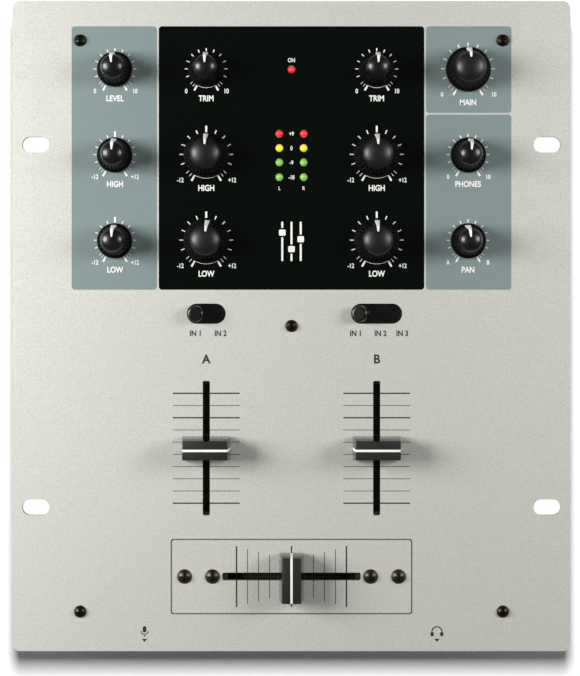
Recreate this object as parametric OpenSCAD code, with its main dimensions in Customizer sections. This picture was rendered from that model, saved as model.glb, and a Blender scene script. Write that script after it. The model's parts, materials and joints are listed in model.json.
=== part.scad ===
// Two channel tabletop mixer with a 10 inch wide rack faceplate.
// Millimetres. The origin is on the ground under the middle of the faceplate,
// +X is to the right, +Y to the rear and +Z up. The mixer stands on its feet.

/* [Faceplate] */
// Width of the faceplate, left to right
face_w = 254; // [250:1:320]
// Depth of the faceplate, front to rear
face_d = 296; // [290:1:370]
// Thickness of the faceplate
face_t = 2.5; // [2.2:0.1:4]
// Corner radius of the faceplate
face_r = 3.5; // [1:0.5:8]
// Distance from the side of the faceplate to the middle of a rack slot
slot_inset = 10.6; // [9:0.1:12]
// Distance between the front and the rear rack slots
slot_pitch_y = 165.1; // [120:0.1:250]
// Length of a rack slot, end to end
slot_l = 12.4; // [9:0.1:14]
// Width of a rack slot
slot_w = 7.2; // [5:0.1:8]

/* [Chassis] */
// Height of the steel chassis under the faceplate
chassis_h = 62; // [58:1:90]
// How far the faceplate overhangs the chassis on the left and right
side_overhang = 21; // [19:0.5:26]
// How far the faceplate overhangs the chassis at the front and rear
end_overhang = 10; // [10:0.5:14]
// Thickness of the chassis sheet
sheet_t = 1.2; // [1:0.1:1.6]
// Inside radius of the folds
fold_r = 1; // [0.6:0.1:2]
// Width of the flanges folded in along the left and right
side_flange = 7; // [5:0.5:9]
// Width of the flanges folded in along the front and rear
end_flange = 14; // [12:0.5:15]
// Width of the lips that the end sheets are welded to the floor by
weld_lip = 8; // [5:0.5:9]
// Gap between the end sheets and the channel that they close
seam_gap = 0.2; // [0.15:0.05:0.4]
// How far the threaded collars stand off the sheet
collar_h = 2.5; // [2:0.1:4]
// Wall of the threaded collars
collar_wall = 1.2; // [0.8:0.1:2]

/* [Feet] */
// Height of the rubber feet
foot_h = 6.5; // [5:0.5:12]
// Radius of a foot where it meets the chassis
foot_r = 9.5; // [8:0.5:14]
// How much narrower a foot is where it meets the ground
foot_taper = 1; // [0:0.1:2]
// Depth of the recess for the foot screw
foot_recess = 3.4; // [3:0.1:4]
// Distance from the chassis side to the middle of a foot
foot_inset_x = 16; // [14:1:30]
// Distance from the chassis front or rear to the middle of a foot
foot_inset_y = 18; // [14:1:40]

/* [Control layout] */
// Distance from the chassis side to the outer knob columns
outer_column_inset = 25.65; // [20:0.05:30]
// Distance between an outer and an inner knob column
column_pitch = 41.55; // [30:0.05:48]
// Distance from the rear edge of the faceplate to the first knob row
first_row_inset = 31.3; // [31:0.1:45]
// Distance between the knob rows
row_pitch = 39; // [28:0.1:42]
// Distance from the last knob row to the source switches
switch_drop = 33.1; // [25:0.1:40]
// Distance from the source switches to the middle of the channel faders
fader_drop = 61.25; // [58:0.05:70]
// Distance from the front edge of the faceplate to the crossfader
crossfader_inset = 33.95; // [33:0.05:40]
// Distance from the chassis side to the screws at the faceplate corners
face_screw_inset_x = 9.8; // [9:0.1:14]
// Distance from the chassis front or rear to those screws
face_screw_inset_y = 8; // [7:0.1:9]
// Distance from the source switches forward to the middle screw
middle_screw_drop = 5.6; // [0:0.1:20]

/* [Knobs] */
// Height of the knobs
knob_h = 15.2; // [14:0.1:20]
// Gap between a knob and the faceplate
knob_lift = 0.8; // [0.5:0.1:2]
// Radius of the flange of a small knob
small_flange_r = 8; // [7.5:0.1:9]
// Radius of the dome of a small knob
small_dome_r = 5.2; // [5:0.1:6]
// Radius of the flange of a large knob
large_flange_r = 10.2; // [9.5:0.1:12]
// Radius of the dome of a large knob
large_dome_r = 7.05; // [6.5:0.05:8]
// Thickness of the flange
flange_h = 1.4; // [1:0.1:2]
// Width of the flange outside the skirt
flange_step = 0.8; // [0.5:0.1:1.5]
// Height of the fluted skirt, from the bottom of the knob
skirt_top = 9.2; // [7:0.1:11]
// Step between the top of the skirt and the dome
dome_step = 0.45; // [0.2:0.05:1]
// Height of the rounded crown on top of the dome
crown_h = 3.2; // [2:0.1:5]
// Number of flutes round a small knob
small_flutes = 24; // [16:1:36]
// Number of flutes round a large knob
large_flutes = 30; // [20:1:40]
// Depth of the flutes
flute_depth = 0.35; // [0.2:0.05:0.5]
// Wall between the flutes and the hollow underside
knob_wall = 1.1; // [0.8:0.1:1.5]
// Height of the hollow in the underside
hollow_h = 6; // [4:0.5:8]
// Wall of the hub that grips the shaft
hub_wall = 1.1; // [0.8:0.1:1.5]
// Width of the pointer at the rim
pointer_w = 2.2; // [1.5:0.1:3]
// Width of the pointer at its inner tip
pointer_tip_w = 0.9; // [0.5:0.1:1.5]
// Distance from the knob axis to the tip of the pointer
pointer_tip_r = 2.7; // [1:0.1:4]
// How far the pointer stands proud of the knob
pointer_rise = 0.35; // [0.2:0.05:0.8]

/* [Knob settings] */
// Turn of the microphone gain knob, clockwise from the middle
mic_gain_turn = -6; // [-150:1:150]
// Turn of the channel 1 gain knob
ch1_gain_turn = -1; // [-150:1:150]
// Turn of the channel 1 bass knob
ch1_bass_turn = 5; // [-150:1:150]
// Turn of the channel 2 gain knob
ch2_gain_turn = 3; // [-150:1:150]
// Turn of the headphone level knob
cue_gain_turn = 6; // [-150:1:150]
// Turn of the headphone blend knob
cue_mix_turn = -5; // [-150:1:150]

/* [Potentiometers] */
// Radius of the knob shafts
shaft_r = 3; // [2.5:0.1:3.6]
// Height of the shafts above the faceplate
shaft_rise = 11; // [9:0.5:12]
// Length of the flat on a shaft
flat_l = 8; // [5:0.5:8]
// Depth of the flat on a shaft
flat_depth = 1.5; // [0.8:0.1:1.8]
// Wall of the bush round a shaft
bush_wall = 0.9; // [0.7:0.1:1.4]
// How far the bush stands above the faceplate
bush_rise = 1.2; // [0.2:0.1:1.6]
// Width of a potentiometer body
pot_w = 11.4; // [11:0.1:13]
// Depth of a potentiometer body
pot_d = 12; // [11:0.1:14]
// Height of a potentiometer body
pot_h = 6.8; // [5:0.1:8]
// Corner radius of a potentiometer body
pot_r = 0.6; // [0.3:0.1:1]
// Radius of the rotor on the foot of a shaft
rotor_r = 4.2; // [3.9:0.1:4.6]
// Thickness of the rotor
rotor_h = 1.4; // [1:0.1:2]
// Floor of a potentiometer body under its rotor
pot_floor = 1; // [0.6:0.1:1.5]

/* [Faders] */
// Travel of a fader from its middle to either end
half_travel = 25; // [20:0.5:30]
// Length of the flat lever along the travel
lever_l = 8; // [5:0.5:10]
// Thickness of the lever
lever_t = 1.2; // [1:0.1:1.6]
// Width of a channel fader slot in the faceplate
fader_slot_w = 3.3; // [2.5:0.1:4]
// Gap between the lever and the end of a channel fader slot
fader_slot_spare = 1.65; // [1:0.05:4]
// Width of the fader frames
frame_w = 10; // [9.4:0.1:12]
// Height of the fader frames
frame_h = 8; // [7.6:0.1:9]
// Sheet thickness of the fader frames
frame_t = 0.8; // [0.6:0.1:1]
// Gap between the carriage and the frame ends at full travel
end_stop = 1; // [0.5:0.1:3]
// Distance from the end of a frame's channel to the hole in its ear
ear_margin = 2.7; // [2.4:0.1:6]
// Distance from that hole to the end of the ear
ear_end = 4.5; // [4:0.1:6]
// Radius of the guide rails
rail_r = 0.9; // [0.7:0.1:1.1]
// Distance between the two rails
rail_pitch = 5; // [4.6:0.1:5.4]
// Depth of the rails under the top of the frame
rail_drop = 3.8; // [3.6:0.1:4.2]
// Length of the carriage along the travel
carriage_l = 13; // [10:0.5:14]
// Height of the carriage
carriage_h = 4.2; // [3.8:0.1:4.6]
// Thickness of the resistive card
card_t = 1; // [0.8:0.1:1.2]
// Width of the wiper under the carriage
wiper_w = 4.4; // [3:0.1:6]
// Length of the wiper along the travel
wiper_l = 1.6; // [1:0.1:3]
// Gap between the channel fader frames and the faceplate
frame_drop = 0.5; // [0.3:0.1:1]
// Length of a leg of the fader frames along the travel
leg_l = 4; // [2:0.5:6]

/* [Fader caps] */
// Length of the cap across its top
cap_top_l = 20.3; // [16:0.1:26]
// Width of the cap across its top
cap_top_w = 8.5; // [7:0.1:11]
// How much the two ends lean out towards the base
cap_lean_l = 0.85; // [0.4:0.05:2]
// How much the two sides lean out towards the base
cap_lean_w = 1.3; // [0.4:0.05:2]
// Height of the cap
cap_h = 12.5; // [12:0.1:16]
// Gap between the cap and the faceplate
cap_lift = 1.2; // [0.8:0.1:3]
// Wall of the hollow cap
cap_wall = 1.2; // [0.9:0.1:1.6]
// Width of the groove round the middle of the cap
cap_groove_w = 1.1; // [0.8:0.1:1.6]
// Depth of that groove
cap_groove_depth = 0.2; // [0.1:0.05:0.4]
// How far the lever reaches into the cap
lever_grip = 9.5; // [6:0.5:10]

/* [Crossfader plate] */
// Distance from the outer screws to the ends of the inset plate
insert_end = 5.8; // [4:0.1:10]
// Depth of the inset plate, front to rear
insert_d = 33.4; // [30:0.1:36]
// Thickness of the inset plate
insert_t = 1.2; // [1:0.1:1.4]
// Corner radius of the inset plate
insert_r = 0.8; // [0.4:0.1:2]
// Gap between the inset plate and its recess
insert_gap = 0.5; // [0.3:0.1:0.8]
// Width of the crossfader slot
crossfader_slot_w = 3.6; // [2.5:0.1:4.5]
// Gap between the lever and the end of the crossfader slot
crossfader_slot_spare = 2.5; // [1:0.1:4]
// Distance from the cut-out for the crossfader frame to the outer screws
insert_screw_gap = 5.7; // [3.5:0.1:8]
// Clearance in the faceplate round the crossfader frame
window_clear = 2.5; // [1:0.1:4]

/* [Source switches] */
// Travel of the two position switch
ch1_switch_travel = 8.5; // [6:0.1:10]
// Travel of the three position switch
ch2_switch_travel = 14.2; // [10:0.1:16]
// Radius of the switch caps
switch_cap_r = 4.2; // [3.5:0.1:5]
// Gap between a cap and its opening
switch_play = 0.4; // [0.3:0.1:1]
// Height of the caps above the faceplate
switch_cap_rise = 5.6; // [4:0.1:8]
// Radius of the rounded top edge of the caps
switch_cap_edge = 1; // [0.6:0.1:2]
// Height over the faceplate at which the caps begin to lean
switch_cap_bend = 1.2; // [1:0.1:2]
// Ledge round the foot of the leaning part
switch_cap_ledge = 0.35; // [0.3:0.05:0.8]
// Taper of the leaning part, in degrees
switch_cap_draft = 5; // [0:1:8]
// How far the cap of the two position switch leans to the left, in degrees
ch1_switch_lean = 8; // [0:1:15]
// How far the cap of the three position switch leans to the left, in degrees
ch2_switch_lean = 16; // [0:1:20]
// Thickness of the dust plate under the opening
dust_t = 0.8; // [0.6:0.1:1.2]
// How far the dust plate reaches past the opening at full travel
dust_overlap = 1.2; // [0.8:0.1:3]
// Length of the slider in the switch frame
slider_l = 7; // [6:0.1:9]
// Width of the slider in the switch frame
slider_w = 6.4; // [5:0.1:8]
// Height of the slider
slider_h = 2.6; // [2:0.1:4]
// Width of the neck between slider and cap
neck_w = 3; // [2:0.1:4]
// Sheet thickness of the switch frame
can_t = 0.8; // [0.6:0.1:1]
// Floor of the switch frame
can_floor = 1.6; // [1:0.1:2]

/* [Lights] */
// Radius of a light
light_r = 1.6; // [1.4:0.05:2]
// Gap between a light and its hole
light_gap = 0.1; // [0.05:0.05:0.3]
// Height of a light above the faceplate
light_rise = 1.4; // [0.8:0.1:2]
// Radius of the rim at the foot of a light
light_rim_r = 1.95; // [1.8:0.05:2.4]
// Thickness of that rim
light_rim_h = 1; // [0.6:0.1:1.4]
// Width of a light's legs
light_leg_w = 0.5; // [0.4:0.05:0.6]
// Distance between the legs of a light
light_leg_pitch = 2.54; // [2:0.01:3]
// Distance from the middle line to either column of the level meter
meter_x = 5.5; // [4:0.1:8]
// Distance between the lights of the level meter
meter_pitch = 6.6; // [5:0.1:8]
// Distance from the second knob row to the top lights of the meter
meter_rise = 9.9; // [0:0.1:16]

/* [Boards] */
// Thickness of the circuit boards
board_t = 1.6; // [1:0.1:2]
// Space between the faceplate and the main board
board_gap = 11; // [10.5:0.1:13]
// Gap between the main board and the chassis flanges
board_margin = 1.5; // [1:0.1:4]
// Corner radius of the boards
board_r = 2; // [1:0.5:4]
// Distance from the board edges to its corner standoffs
standoff_inset = 5; // [4.5:0.1:8]
// Width across the flats of a standoff
standoff_af = 5.5; // [5:0.1:7]
// Radius of the spigot pressed into the faceplate
spigot_r = 2.2; // [2:0.05:2.5]
// Height of that spigot
spigot_h = 1.2; // [0.8:0.1:1.6]
// Space between the rear wall and the connector board
io_gap = 16; // [14:0.5:20]
// Height of the lower edge of the connector board above the chassis floor
io_lift = 5; // [3:0.5:12]
// Width of the header that joins the two boards
header_w = 50; // [30:1:80]
// Height of that header
header_h = 6; // [4:0.5:9]
// Depth of that header
header_d = 5; // [3:0.5:8]
// Length of an amplifier chip
chip_l = 9.8; // [8:0.1:12]
// Width of an amplifier chip
chip_w = 6.4; // [5:0.1:8]
// Height of an amplifier chip
chip_h = 3.4; // [2:0.1:4]
// Radius of a capacitor
capacitor_r = 3.2; // [2:0.1:5]
// Height of a capacitor
capacitor_h = 7; // [5:0.5:9]

/* [Rear connectors] */
// Distance from the chassis side to the first rear connector
rear_margin = 9; // [8:0.5:20]
// Height of the lower phono sockets above the chassis floor
phono_lift = 13; // [12:0.5:20]
// Distance between the upper and lower phono sockets
phono_pitch = 15; // [13:0.5:18]
// Width of a phono block
phono_block_w = 12; // [11:0.1:14]
// Radius of a phono sleeve
sleeve_r = 4.15; // [4.1:0.01:4.25]
// Wall of a phono sleeve
sleeve_wall = 0.7; // [0.5:0.1:0.9]
// How much narrower a sleeve is inside its block
sleeve_step = 0.25; // [0.15:0.05:0.4]
// How far a sleeve stands out of the rear wall
sleeve_out = 9; // [8:0.1:9.8]
// How far a sleeve reaches into its block
sleeve_in = 8; // [5:0.5:10]
// Wall of the block's collar round a sleeve
phono_collar_wall = 0.6; // [0.5:0.1:0.9]
// How far the collar stands out of the rear wall
phono_collar_out = 0.5; // [0.2:0.1:1]
// Radius of the hole for a plug's centre pin
centre_hole_r = 1.65; // [1.6:0.01:1.8]
// Depth of that hole
centre_hole_l = 9; // [7:0.5:12]
// How far the coloured insert stops short of the sleeve's mouth
insert_step = 1; // [0.5:0.1:2]
// Height of the data and power sockets above the chassis floor
socket_lift = 20.5; // [14:0.5:30]
// Width of the data socket
usb_w = 12; // [11.5:0.1:13]
// Height of the data socket
usb_h = 10.9; // [10.5:0.1:12]
// Width of the data socket's opening
usb_mouth_w = 8.45; // [8.4:0.01:8.6]
// Height of the data socket's opening
usb_mouth_h = 7.78; // [7.7:0.01:7.9]
// Size of the two chamfers of that opening
usb_chamfer = 1.6; // [1.4:0.1:1.8]
// Depth of the data socket's opening
usb_depth = 10.5; // [9:0.1:12]
// Width of the data socket's tongue
usb_tongue_w = 5.6; // [5.4:0.1:5.8]
// Height of the data socket's tongue
usb_tongue_h = 3.2; // [3:0.1:3.3]
// How far sockets stand out of the rear wall
socket_out = 0.5; // [0.2:0.1:1]
// Corner radius of the rear sockets and phono blocks
block_r = 0.6; // [0.3:0.1:1]
// Width of the power inlet body
inlet_w = 9.6; // [9:0.1:12]
// Height of the power inlet body
inlet_h = 11; // [10:0.1:13]
// Radius of the nose of the power inlet
inlet_nose_r = 4.2; // [4:0.1:5]
// Radius of the bore of the power inlet
inlet_bore_r = 2.9; // [2.8:0.01:3.1]
// Depth of that bore
inlet_depth = 10.5; // [9:0.1:12]
// Radius of the pin of the power inlet
inlet_pin_r = 1.02; // [1:0.01:1.25]
// How far that pin stops short of the mouth
inlet_pin_step = 1; // [0.5:0.1:2]

/* [Power switch] */
// Width of the bezel on the rear wall
bezel_w = 16; // [15.5:0.1:20]
// Height of the bezel
bezel_h = 22; // [21.5:0.1:26]
// Thickness of the bezel
bezel_t = 1.8; // [1.2:0.1:3]
// How much the bezel overlaps the edge of its cut-out
bezel_lap = 1.4; // [1:0.1:2]
// Depth of the switch body behind the bezel
rocker_body_d = 18; // [14:0.5:24]
// Width of the rocker
rocker_w = 9.6; // [8:0.1:11]
// Length of the rocker
rocker_l = 14.4; // [12:0.1:16]
// Distance from the rocker's pivot to the middle of its face
rocker_rise = 3.5; // [3:0.1:5]
// Distance from the rocker's pivot to its underside
rocker_depth = 2.4; // [2:0.1:4]
// Tilt of the rocker to either side
rocker_tilt = 9; // [6:0.5:12]
// Radius of the rocker's pivot stubs
stub_r = 1.4; // [1:0.1:1.6]
// Length of those stubs
stub_l = 1; // [0.8:0.1:1.2]

/* [Ground terminal] */
// Radius of the ground screw
ground_r = 1.95; // [1.5:0.05:2.5]
// Length of the ground screw under its head
ground_l = 8; // [6:0.5:12]
// Radius of its knurled head
ground_head_r = 4.6; // [4:0.1:4.9]
// Thickness of its head
ground_head_h = 5.8; // [4:0.1:6]
// Number of ridges on the head
ground_ridges = 24; // [12:1:36]
// Depth of the knurling
ground_knurl = 0.3; // [0.2:0.05:0.5]
// Radius of the washer
washer_r = 4.5; // [4:0.1:6]
// Thickness of the washer
washer_t = 0.8; // [0.6:0.1:1.2]

/* [Front sockets] */
// Distance from the chassis side to the middle of a front socket
jack_inset = 39.5; // [25:0.5:60]
// Height of the front sockets above the chassis floor
jack_lift = 28; // [12:0.5:40]
// Radius of the plug hole
jack_r = 3.25; // [3.2:0.01:3.4]
// Depth of the plug hole
jack_depth = 30; // [28:0.5:34]
// Radius of the threaded nose
jack_nose_r = 5.4; // [4.8:0.1:6]
// How far the nose stands out of the front wall
jack_out = 4.2; // [3.6:0.1:6]
// Width of the body behind the wall
jack_w = 15; // [13:0.5:18]
// Height of the body behind the wall
jack_h = 14; // [13:0.5:18]
// Wall at the blind end of the body
jack_end_wall = 1.6; // [1:0.1:3]
// Width of the nut across its flats
jack_nut_af = 14; // [13.5:0.1:17]
// Thickness of the nut
jack_nut_t = 2.6; // [2:0.1:3.4]

/* [Screws] */
// Radius of the machine screws
screw_r = 1.5; // [1.25:0.05:1.75]
// Length of the machine screws
screw_l = 6; // [5.5:0.5:6.5]
// Radius of their heads
screw_head_r = 2.85; // [2.5:0.05:3.3]
// Height of their heads
screw_head_h = 2; // [1.6:0.1:2.4]
// Radius of the heads of the crossfader screws
insert_screw_head_r = 3.35; // [3:0.05:3.6]
// Length of the crossfader screws
insert_screw_l = 4.5; // [4:0.5:6]
// Width of the cross in a screw head
cross_w = 0.7; // [0.5:0.05:1]
// Depth of that cross
cross_depth = 1.1; // [0.8:0.1:1.4]

/* [Clearances] */
// Radial gap between a part that turns or slides and its guide
run_gap = 0.1; // [0.08:0.01:0.15]
// Radial gap between fixed parts that fit into each other
fit_gap = 0.05; // [0.03:0.01:0.1]
// Radial gap of plain through holes
hole_gap = 0.3; // [0.2:0.05:0.5]
// Gap between moving parts that pass each other
pass_gap = 0.2; // [0.15:0.05:0.3]

/* [Hidden] */
$fn = 64;

silver = "#c9c8c2";
gloss_black = "#101112";
steel = "#9a9c9e";
plastic_black = "#1c1c1e";
board_green = "#1f5a36";

// Heights
face_z = foot_h + chassis_h;
face_top = face_z + face_t;
floor_z = foot_h + sheet_t;
board_top = face_z - board_gap;
board_z = board_top - board_t;
insert_z = face_top - insert_t;
knob_z = face_top + knob_lift;
cap_z = face_top + cap_lift;
lever_top = cap_z + lever_grip;

// Chassis
chassis_w = face_w - 2*side_overhang;
chassis_d = face_d - 2*end_overhang;
rear_y = chassis_d/2;
inner_y = rear_y - sheet_t;
io_front = inner_y - io_gap;

// Places of the controls
outer_x = chassis_w/2 - outer_column_inset;
inner_x = outer_x - column_pitch;
row_y = [for (i = [0:2]) face_d/2 - first_row_inset - i*row_pitch];
switch_y = row_y[2] - switch_drop;
fader_y = switch_y - fader_drop;
crossfader_y = crossfader_inset - face_d/2;
slot_x = face_w/2 - slot_inset;
face_screw_x = chassis_w/2 - face_screw_inset_x;
face_screw_y = chassis_d/2 - face_screw_inset_y;
middle_screw_y = switch_y - middle_screw_drop;
corners = [for (x = [-1, 1], y = [-1, 1]) [x, y]];
foot_x = chassis_w/2 - foot_inset_x;
foot_y = chassis_d/2 - foot_inset_y;

// Each knob: place, flange radius, dome radius, flutes and turn
function small_knob(x, row, turn = 0) =
    [x, row_y[row], small_flange_r, small_dome_r, small_flutes, turn];
function large_knob(x, row, turn = 0) =
    [x, row_y[row], large_flange_r, large_dome_r, large_flutes, turn];
mic_gain = small_knob(-outer_x, 0, mic_gain_turn);
mic_treble = small_knob(-outer_x, 1);
mic_bass = small_knob(-outer_x, 2);
ch1_gain = small_knob(-inner_x, 0, ch1_gain_turn);
ch1_treble = large_knob(-inner_x, 1);
ch1_bass = large_knob(-inner_x, 2, ch1_bass_turn);
ch2_gain = small_knob(inner_x, 0, ch2_gain_turn);
ch2_treble = large_knob(inner_x, 1);
ch2_bass = large_knob(inner_x, 2);
master = large_knob(outer_x, 0);
cue_gain = small_knob(outer_x, 1, cue_gain_turn);
cue_mix = small_knob(outer_x, 2, cue_mix_turn);
knobs = [mic_gain, mic_treble, mic_bass, ch1_gain, ch1_treble, ch1_bass,
         ch2_gain, ch2_treble, ch2_bass, master, cue_gain, cue_mix];

// Potentiometers
bush_bore_r = shaft_r + run_gap;
bush_r = bush_bore_r + bush_wall;
hub_bore_r = shaft_r + fit_gap;
hub_r = hub_bore_r + hub_wall;
hub_bottom = bush_rise - knob_lift + hole_gap;

// Faders
slot_reach = 2*half_travel + lever_l;
fader_slot_l = slot_reach + 2*fader_slot_spare;
crossfader_slot_l = slot_reach + 2*crossfader_slot_spare;
channel_l = 2*(half_travel + carriage_l/2 + end_stop + frame_t);
ear_hole_y = channel_l/2 + ear_margin;
frame_l = 2*(ear_hole_y + ear_end);
frame_top = face_z - frame_drop;
leg_h = frame_top - frame_h - board_top;
carriage_w = frame_w - 2*frame_t - 2*pass_gap;
carriage_drop = rail_drop + carriage_h/2;
card_drop = frame_h - card_t;
cap_base = [cap_top_l + 2*cap_lean_l, cap_top_w + 2*cap_lean_w];
cap_top = [cap_top_l, cap_top_w];
insert_hole_r = screw_r + hole_gap;
screw_hole_r = screw_r + hole_gap;
thread_r = screw_r + fit_gap;
window = [frame_l + 2*window_clear, frame_w + 2*window_clear];
insert_screw_x = window.x/2 + insert_screw_gap;
insert_w = 2*(insert_screw_x + insert_end);

// Source switches
opening_w = 2*(switch_cap_r + switch_play);
dust_top = face_z - pass_gap;
can_top = dust_top - dust_t - pass_gap;
can_h = can_top - board_top;
slider_top = can_top - can_t - pass_gap;

// Main board outline, between the chassis flanges and just past the channel faders
board_x = chassis_w/2 - side_flange - board_margin;
board_rear = rear_y - end_flange - board_margin;
board_front = fader_y - frame_l/2 - board_margin;
standoff_x = board_x - standoff_inset;
standoff_rear = io_front - board_t - screw_head_r - hole_gap;
standoff_front = board_front + standoff_inset;
standoffs = [[-standoff_x, standoff_rear], [standoff_x, standoff_rear],
             [-standoff_x, standoff_front], [standoff_x, standoff_front]];

// Rear connectors, left to right, shared out over the width of the chassis
station_w = [phono_block_w, phono_block_w, 2*ground_head_r, phono_block_w, phono_block_w,
             phono_block_w, phono_block_w, usb_w, inlet_w, bezel_w];
ground_station = 2;
usb_station = 7;
inlet_station = 8;
power_station = 9;
phono_stations = [0, 1, 3, 4, 5, 6];
function total(list, n) = n == 0 ? 0 : list[n - 1] + total(list, n - 1);
station_gap = (chassis_w - 2*rear_margin - total(station_w, len(station_w)))
    / (len(station_w) - 1);
function station_x(i) =
    rear_margin - chassis_w/2 + total(station_w, i) + i*station_gap + station_w[i]/2;
phono_x = [for (i = phono_stations) station_x(i)];
low_z = floor_z + phono_lift;
phono_z = [low_z, low_z + phono_pitch];
phono_mid_z = low_z + phono_pitch/2;
socket_z = floor_z + socket_lift;
phono_collar_r = sleeve_r + phono_collar_wall;
io_z = floor_z + io_lift;

// Power switch
power_x = station_x(power_station);
cutout = [bezel_w - 2*bezel_lap, bezel_h - 2*bezel_lap];
pivot_y = rear_y + bezel_t - rocker_rise;
pocket = [rocker_w + 2*pass_gap, rocker_l + 4*rocker_rise*sin(rocker_tilt)];

// Ground terminal and front sockets
ground_x = station_x(ground_station);
jack_x = chassis_w/2 - jack_inset;
jack_z = floor_z + jack_lift;

// ---- shapes ----

// Rectangle with round corners
module round_rect(size, r) {
    square([size.x - 2*r, size.y], center = true);
    square([size.x, size.y - 2*r], center = true);
    for (c = corners)
        translate([c.x*(size.x/2 - r), c.y*(size.y/2 - r)]) circle(r);
}

// Slot with round ends, along X
module stadium(l, w) {
    square([l - w, w], center = true);
    for (s = [-1, 1])
        translate([s*(l - w)/2, 0]) circle(w/2);
}

// Puts its children at a place on the faceplate
module on_face(x, y) {
    translate([x, y, face_top]) children();
}

// Turns what points up so that it points out of the rear wall
module out_the_back(x, y, z) {
    translate([x, y, z]) rotate([-90, 0, 0]) children();
}

// Turns what points up so that it points out of the front wall
module out_the_front(x, y, z) {
    translate([x, y, z]) rotate([90, 0, 0]) children();
}

// Block whose four sides lean in evenly from its base to its top
module leaning_block(base, top, h) {
    intersection() {
        rotate([90, 0, 0]) linear_extrude(base.y, center = true)
            polygon([[-base.x/2, 0], [base.x/2, 0], [top.x/2, h], [-top.x/2, h]]);
        rotate([90, 0, 90]) linear_extrude(base.x, center = true)
            polygon([[-base.y/2, 0], [base.y/2, 0], [top.y/2, h], [-top.y/2, h]]);
    }
}

// Rounded cap of a sphere, r across its edge and h high
module crown(r, h) {
    ball_r = (r*r + h*h)/(2*h);
    intersection() {
        cylinder(r = r, h = h);
        translate([0, 0, h - ball_r]) sphere(ball_r);
    }
}

// Outline with ridges round it, each a flat land and a flat groove
function ridges(n, outer_r, depth) = [
    for (i = [0:n - 1], k = [0:3])
        let (r = k < 2 ? outer_r : outer_r - depth, a = (i + k/4)*360/n)
        [r*cos(a), r*sin(a)]
];

// Screw with a domed head above z = 0 and its shank below
module pan_screw(head_r, head_h, shank_l) {
    difference() {
        crown(head_r, head_h);
        for (a = [0, 90])
            rotate(a) translate([0, 0, head_h - cross_depth/2])
                cube([1.2*head_r, cross_w, cross_depth], center = true);
    }
    translate([0, 0, -shank_l]) cylinder(r = screw_r, h = shank_l);
}

// ---- housing ----

module faceplate_outline() {
    difference() {
        round_rect([face_w, face_d], face_r);
        for (c = corners)
            translate([c.x*slot_x, c.y*slot_pitch_y/2]) stadium(slot_l, slot_w);
        for (c = corners)
            translate([c.x*face_screw_x, c.y*face_screw_y]) circle(screw_hole_r);
        translate([0, middle_screw_y]) circle(screw_hole_r);
        for (k = knobs)
            translate([k.x, k.y]) circle(bush_r + hole_gap);
        for (p = concat(red_places(), yellow_places(), green_places()))
            translate(p) circle(light_r + light_gap);
        for (s = [-1, 1])
            translate([s*inner_x, fader_y]) round_rect([fader_slot_w, fader_slot_l], fader_slot_w/4);
        translate([-inner_x, switch_y]) stadium(ch1_switch_travel + opening_w, opening_w);
        translate([inner_x, switch_y]) stadium(ch2_switch_travel + opening_w, opening_w);
        translate([0, crossfader_y]) round_rect(window, insert_r);
    }
}

module faceplate() {
    color(silver) difference() {
        union() {
            translate([0, 0, face_z]) linear_extrude(face_t) faceplate_outline();
            for (s = [-1, 1])
                translate([s*insert_screw_x, crossfader_y, face_z - collar_h])
                    cylinder(r = thread_r + collar_wall, h = collar_h + face_t/4);
        }
        translate([0, crossfader_y, insert_z]) linear_extrude(face_t)
            round_rect([insert_w + 2*insert_gap, insert_d + 2*insert_gap], insert_r + insert_gap);
        for (s = [-1, 1])
            translate([s*insert_screw_x, crossfader_y, face_z - 2*collar_h])
                cylinder(r = thread_r, h = 2*collar_h + face_t);
        for (p = standoffs)
            translate([p.x, p.y, face_z - face_t]) cylinder(r = spigot_r + fit_gap, h = face_t + spigot_h);
    }
}

module crossfader_plate() {
    color(silver) translate([0, crossfader_y, insert_z]) linear_extrude(insert_t)
        difference() {
            round_rect([insert_w, insert_d], insert_r);
            round_rect([crossfader_slot_l, crossfader_slot_w], crossfader_slot_w/4);
            for (s = [-1, 1], x = [insert_screw_x, ear_hole_y])
                translate([s*x, 0]) circle(insert_hole_r);
        }
}

// Floor, side walls and side flanges, folded from one sheet that is open at both ends
module chassis_channel() {
    notch = end_flange + seam_gap;
    inner_w = chassis_w - 2*sheet_t;
    difference() {
        translate([0, 0, foot_h + chassis_h/2]) rotate([90, 0, 0])
            linear_extrude(2*(inner_y - seam_gap), center = true) difference() {
                round_rect([chassis_w, chassis_h], fold_r + sheet_t);
                round_rect([inner_w, chassis_h - 2*sheet_t], fold_r);
                translate([0, chassis_h/2]) square([chassis_w - 2*side_flange, chassis_h], center = true);
            }
        for (s = [-1, 1])
            translate([-inner_w/2, s*(rear_y - notch/2) - notch/2, face_z - 2*sheet_t - fold_r])
                cube([inner_w, notch, 4*sheet_t + fold_r]);
    }
}

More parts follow.
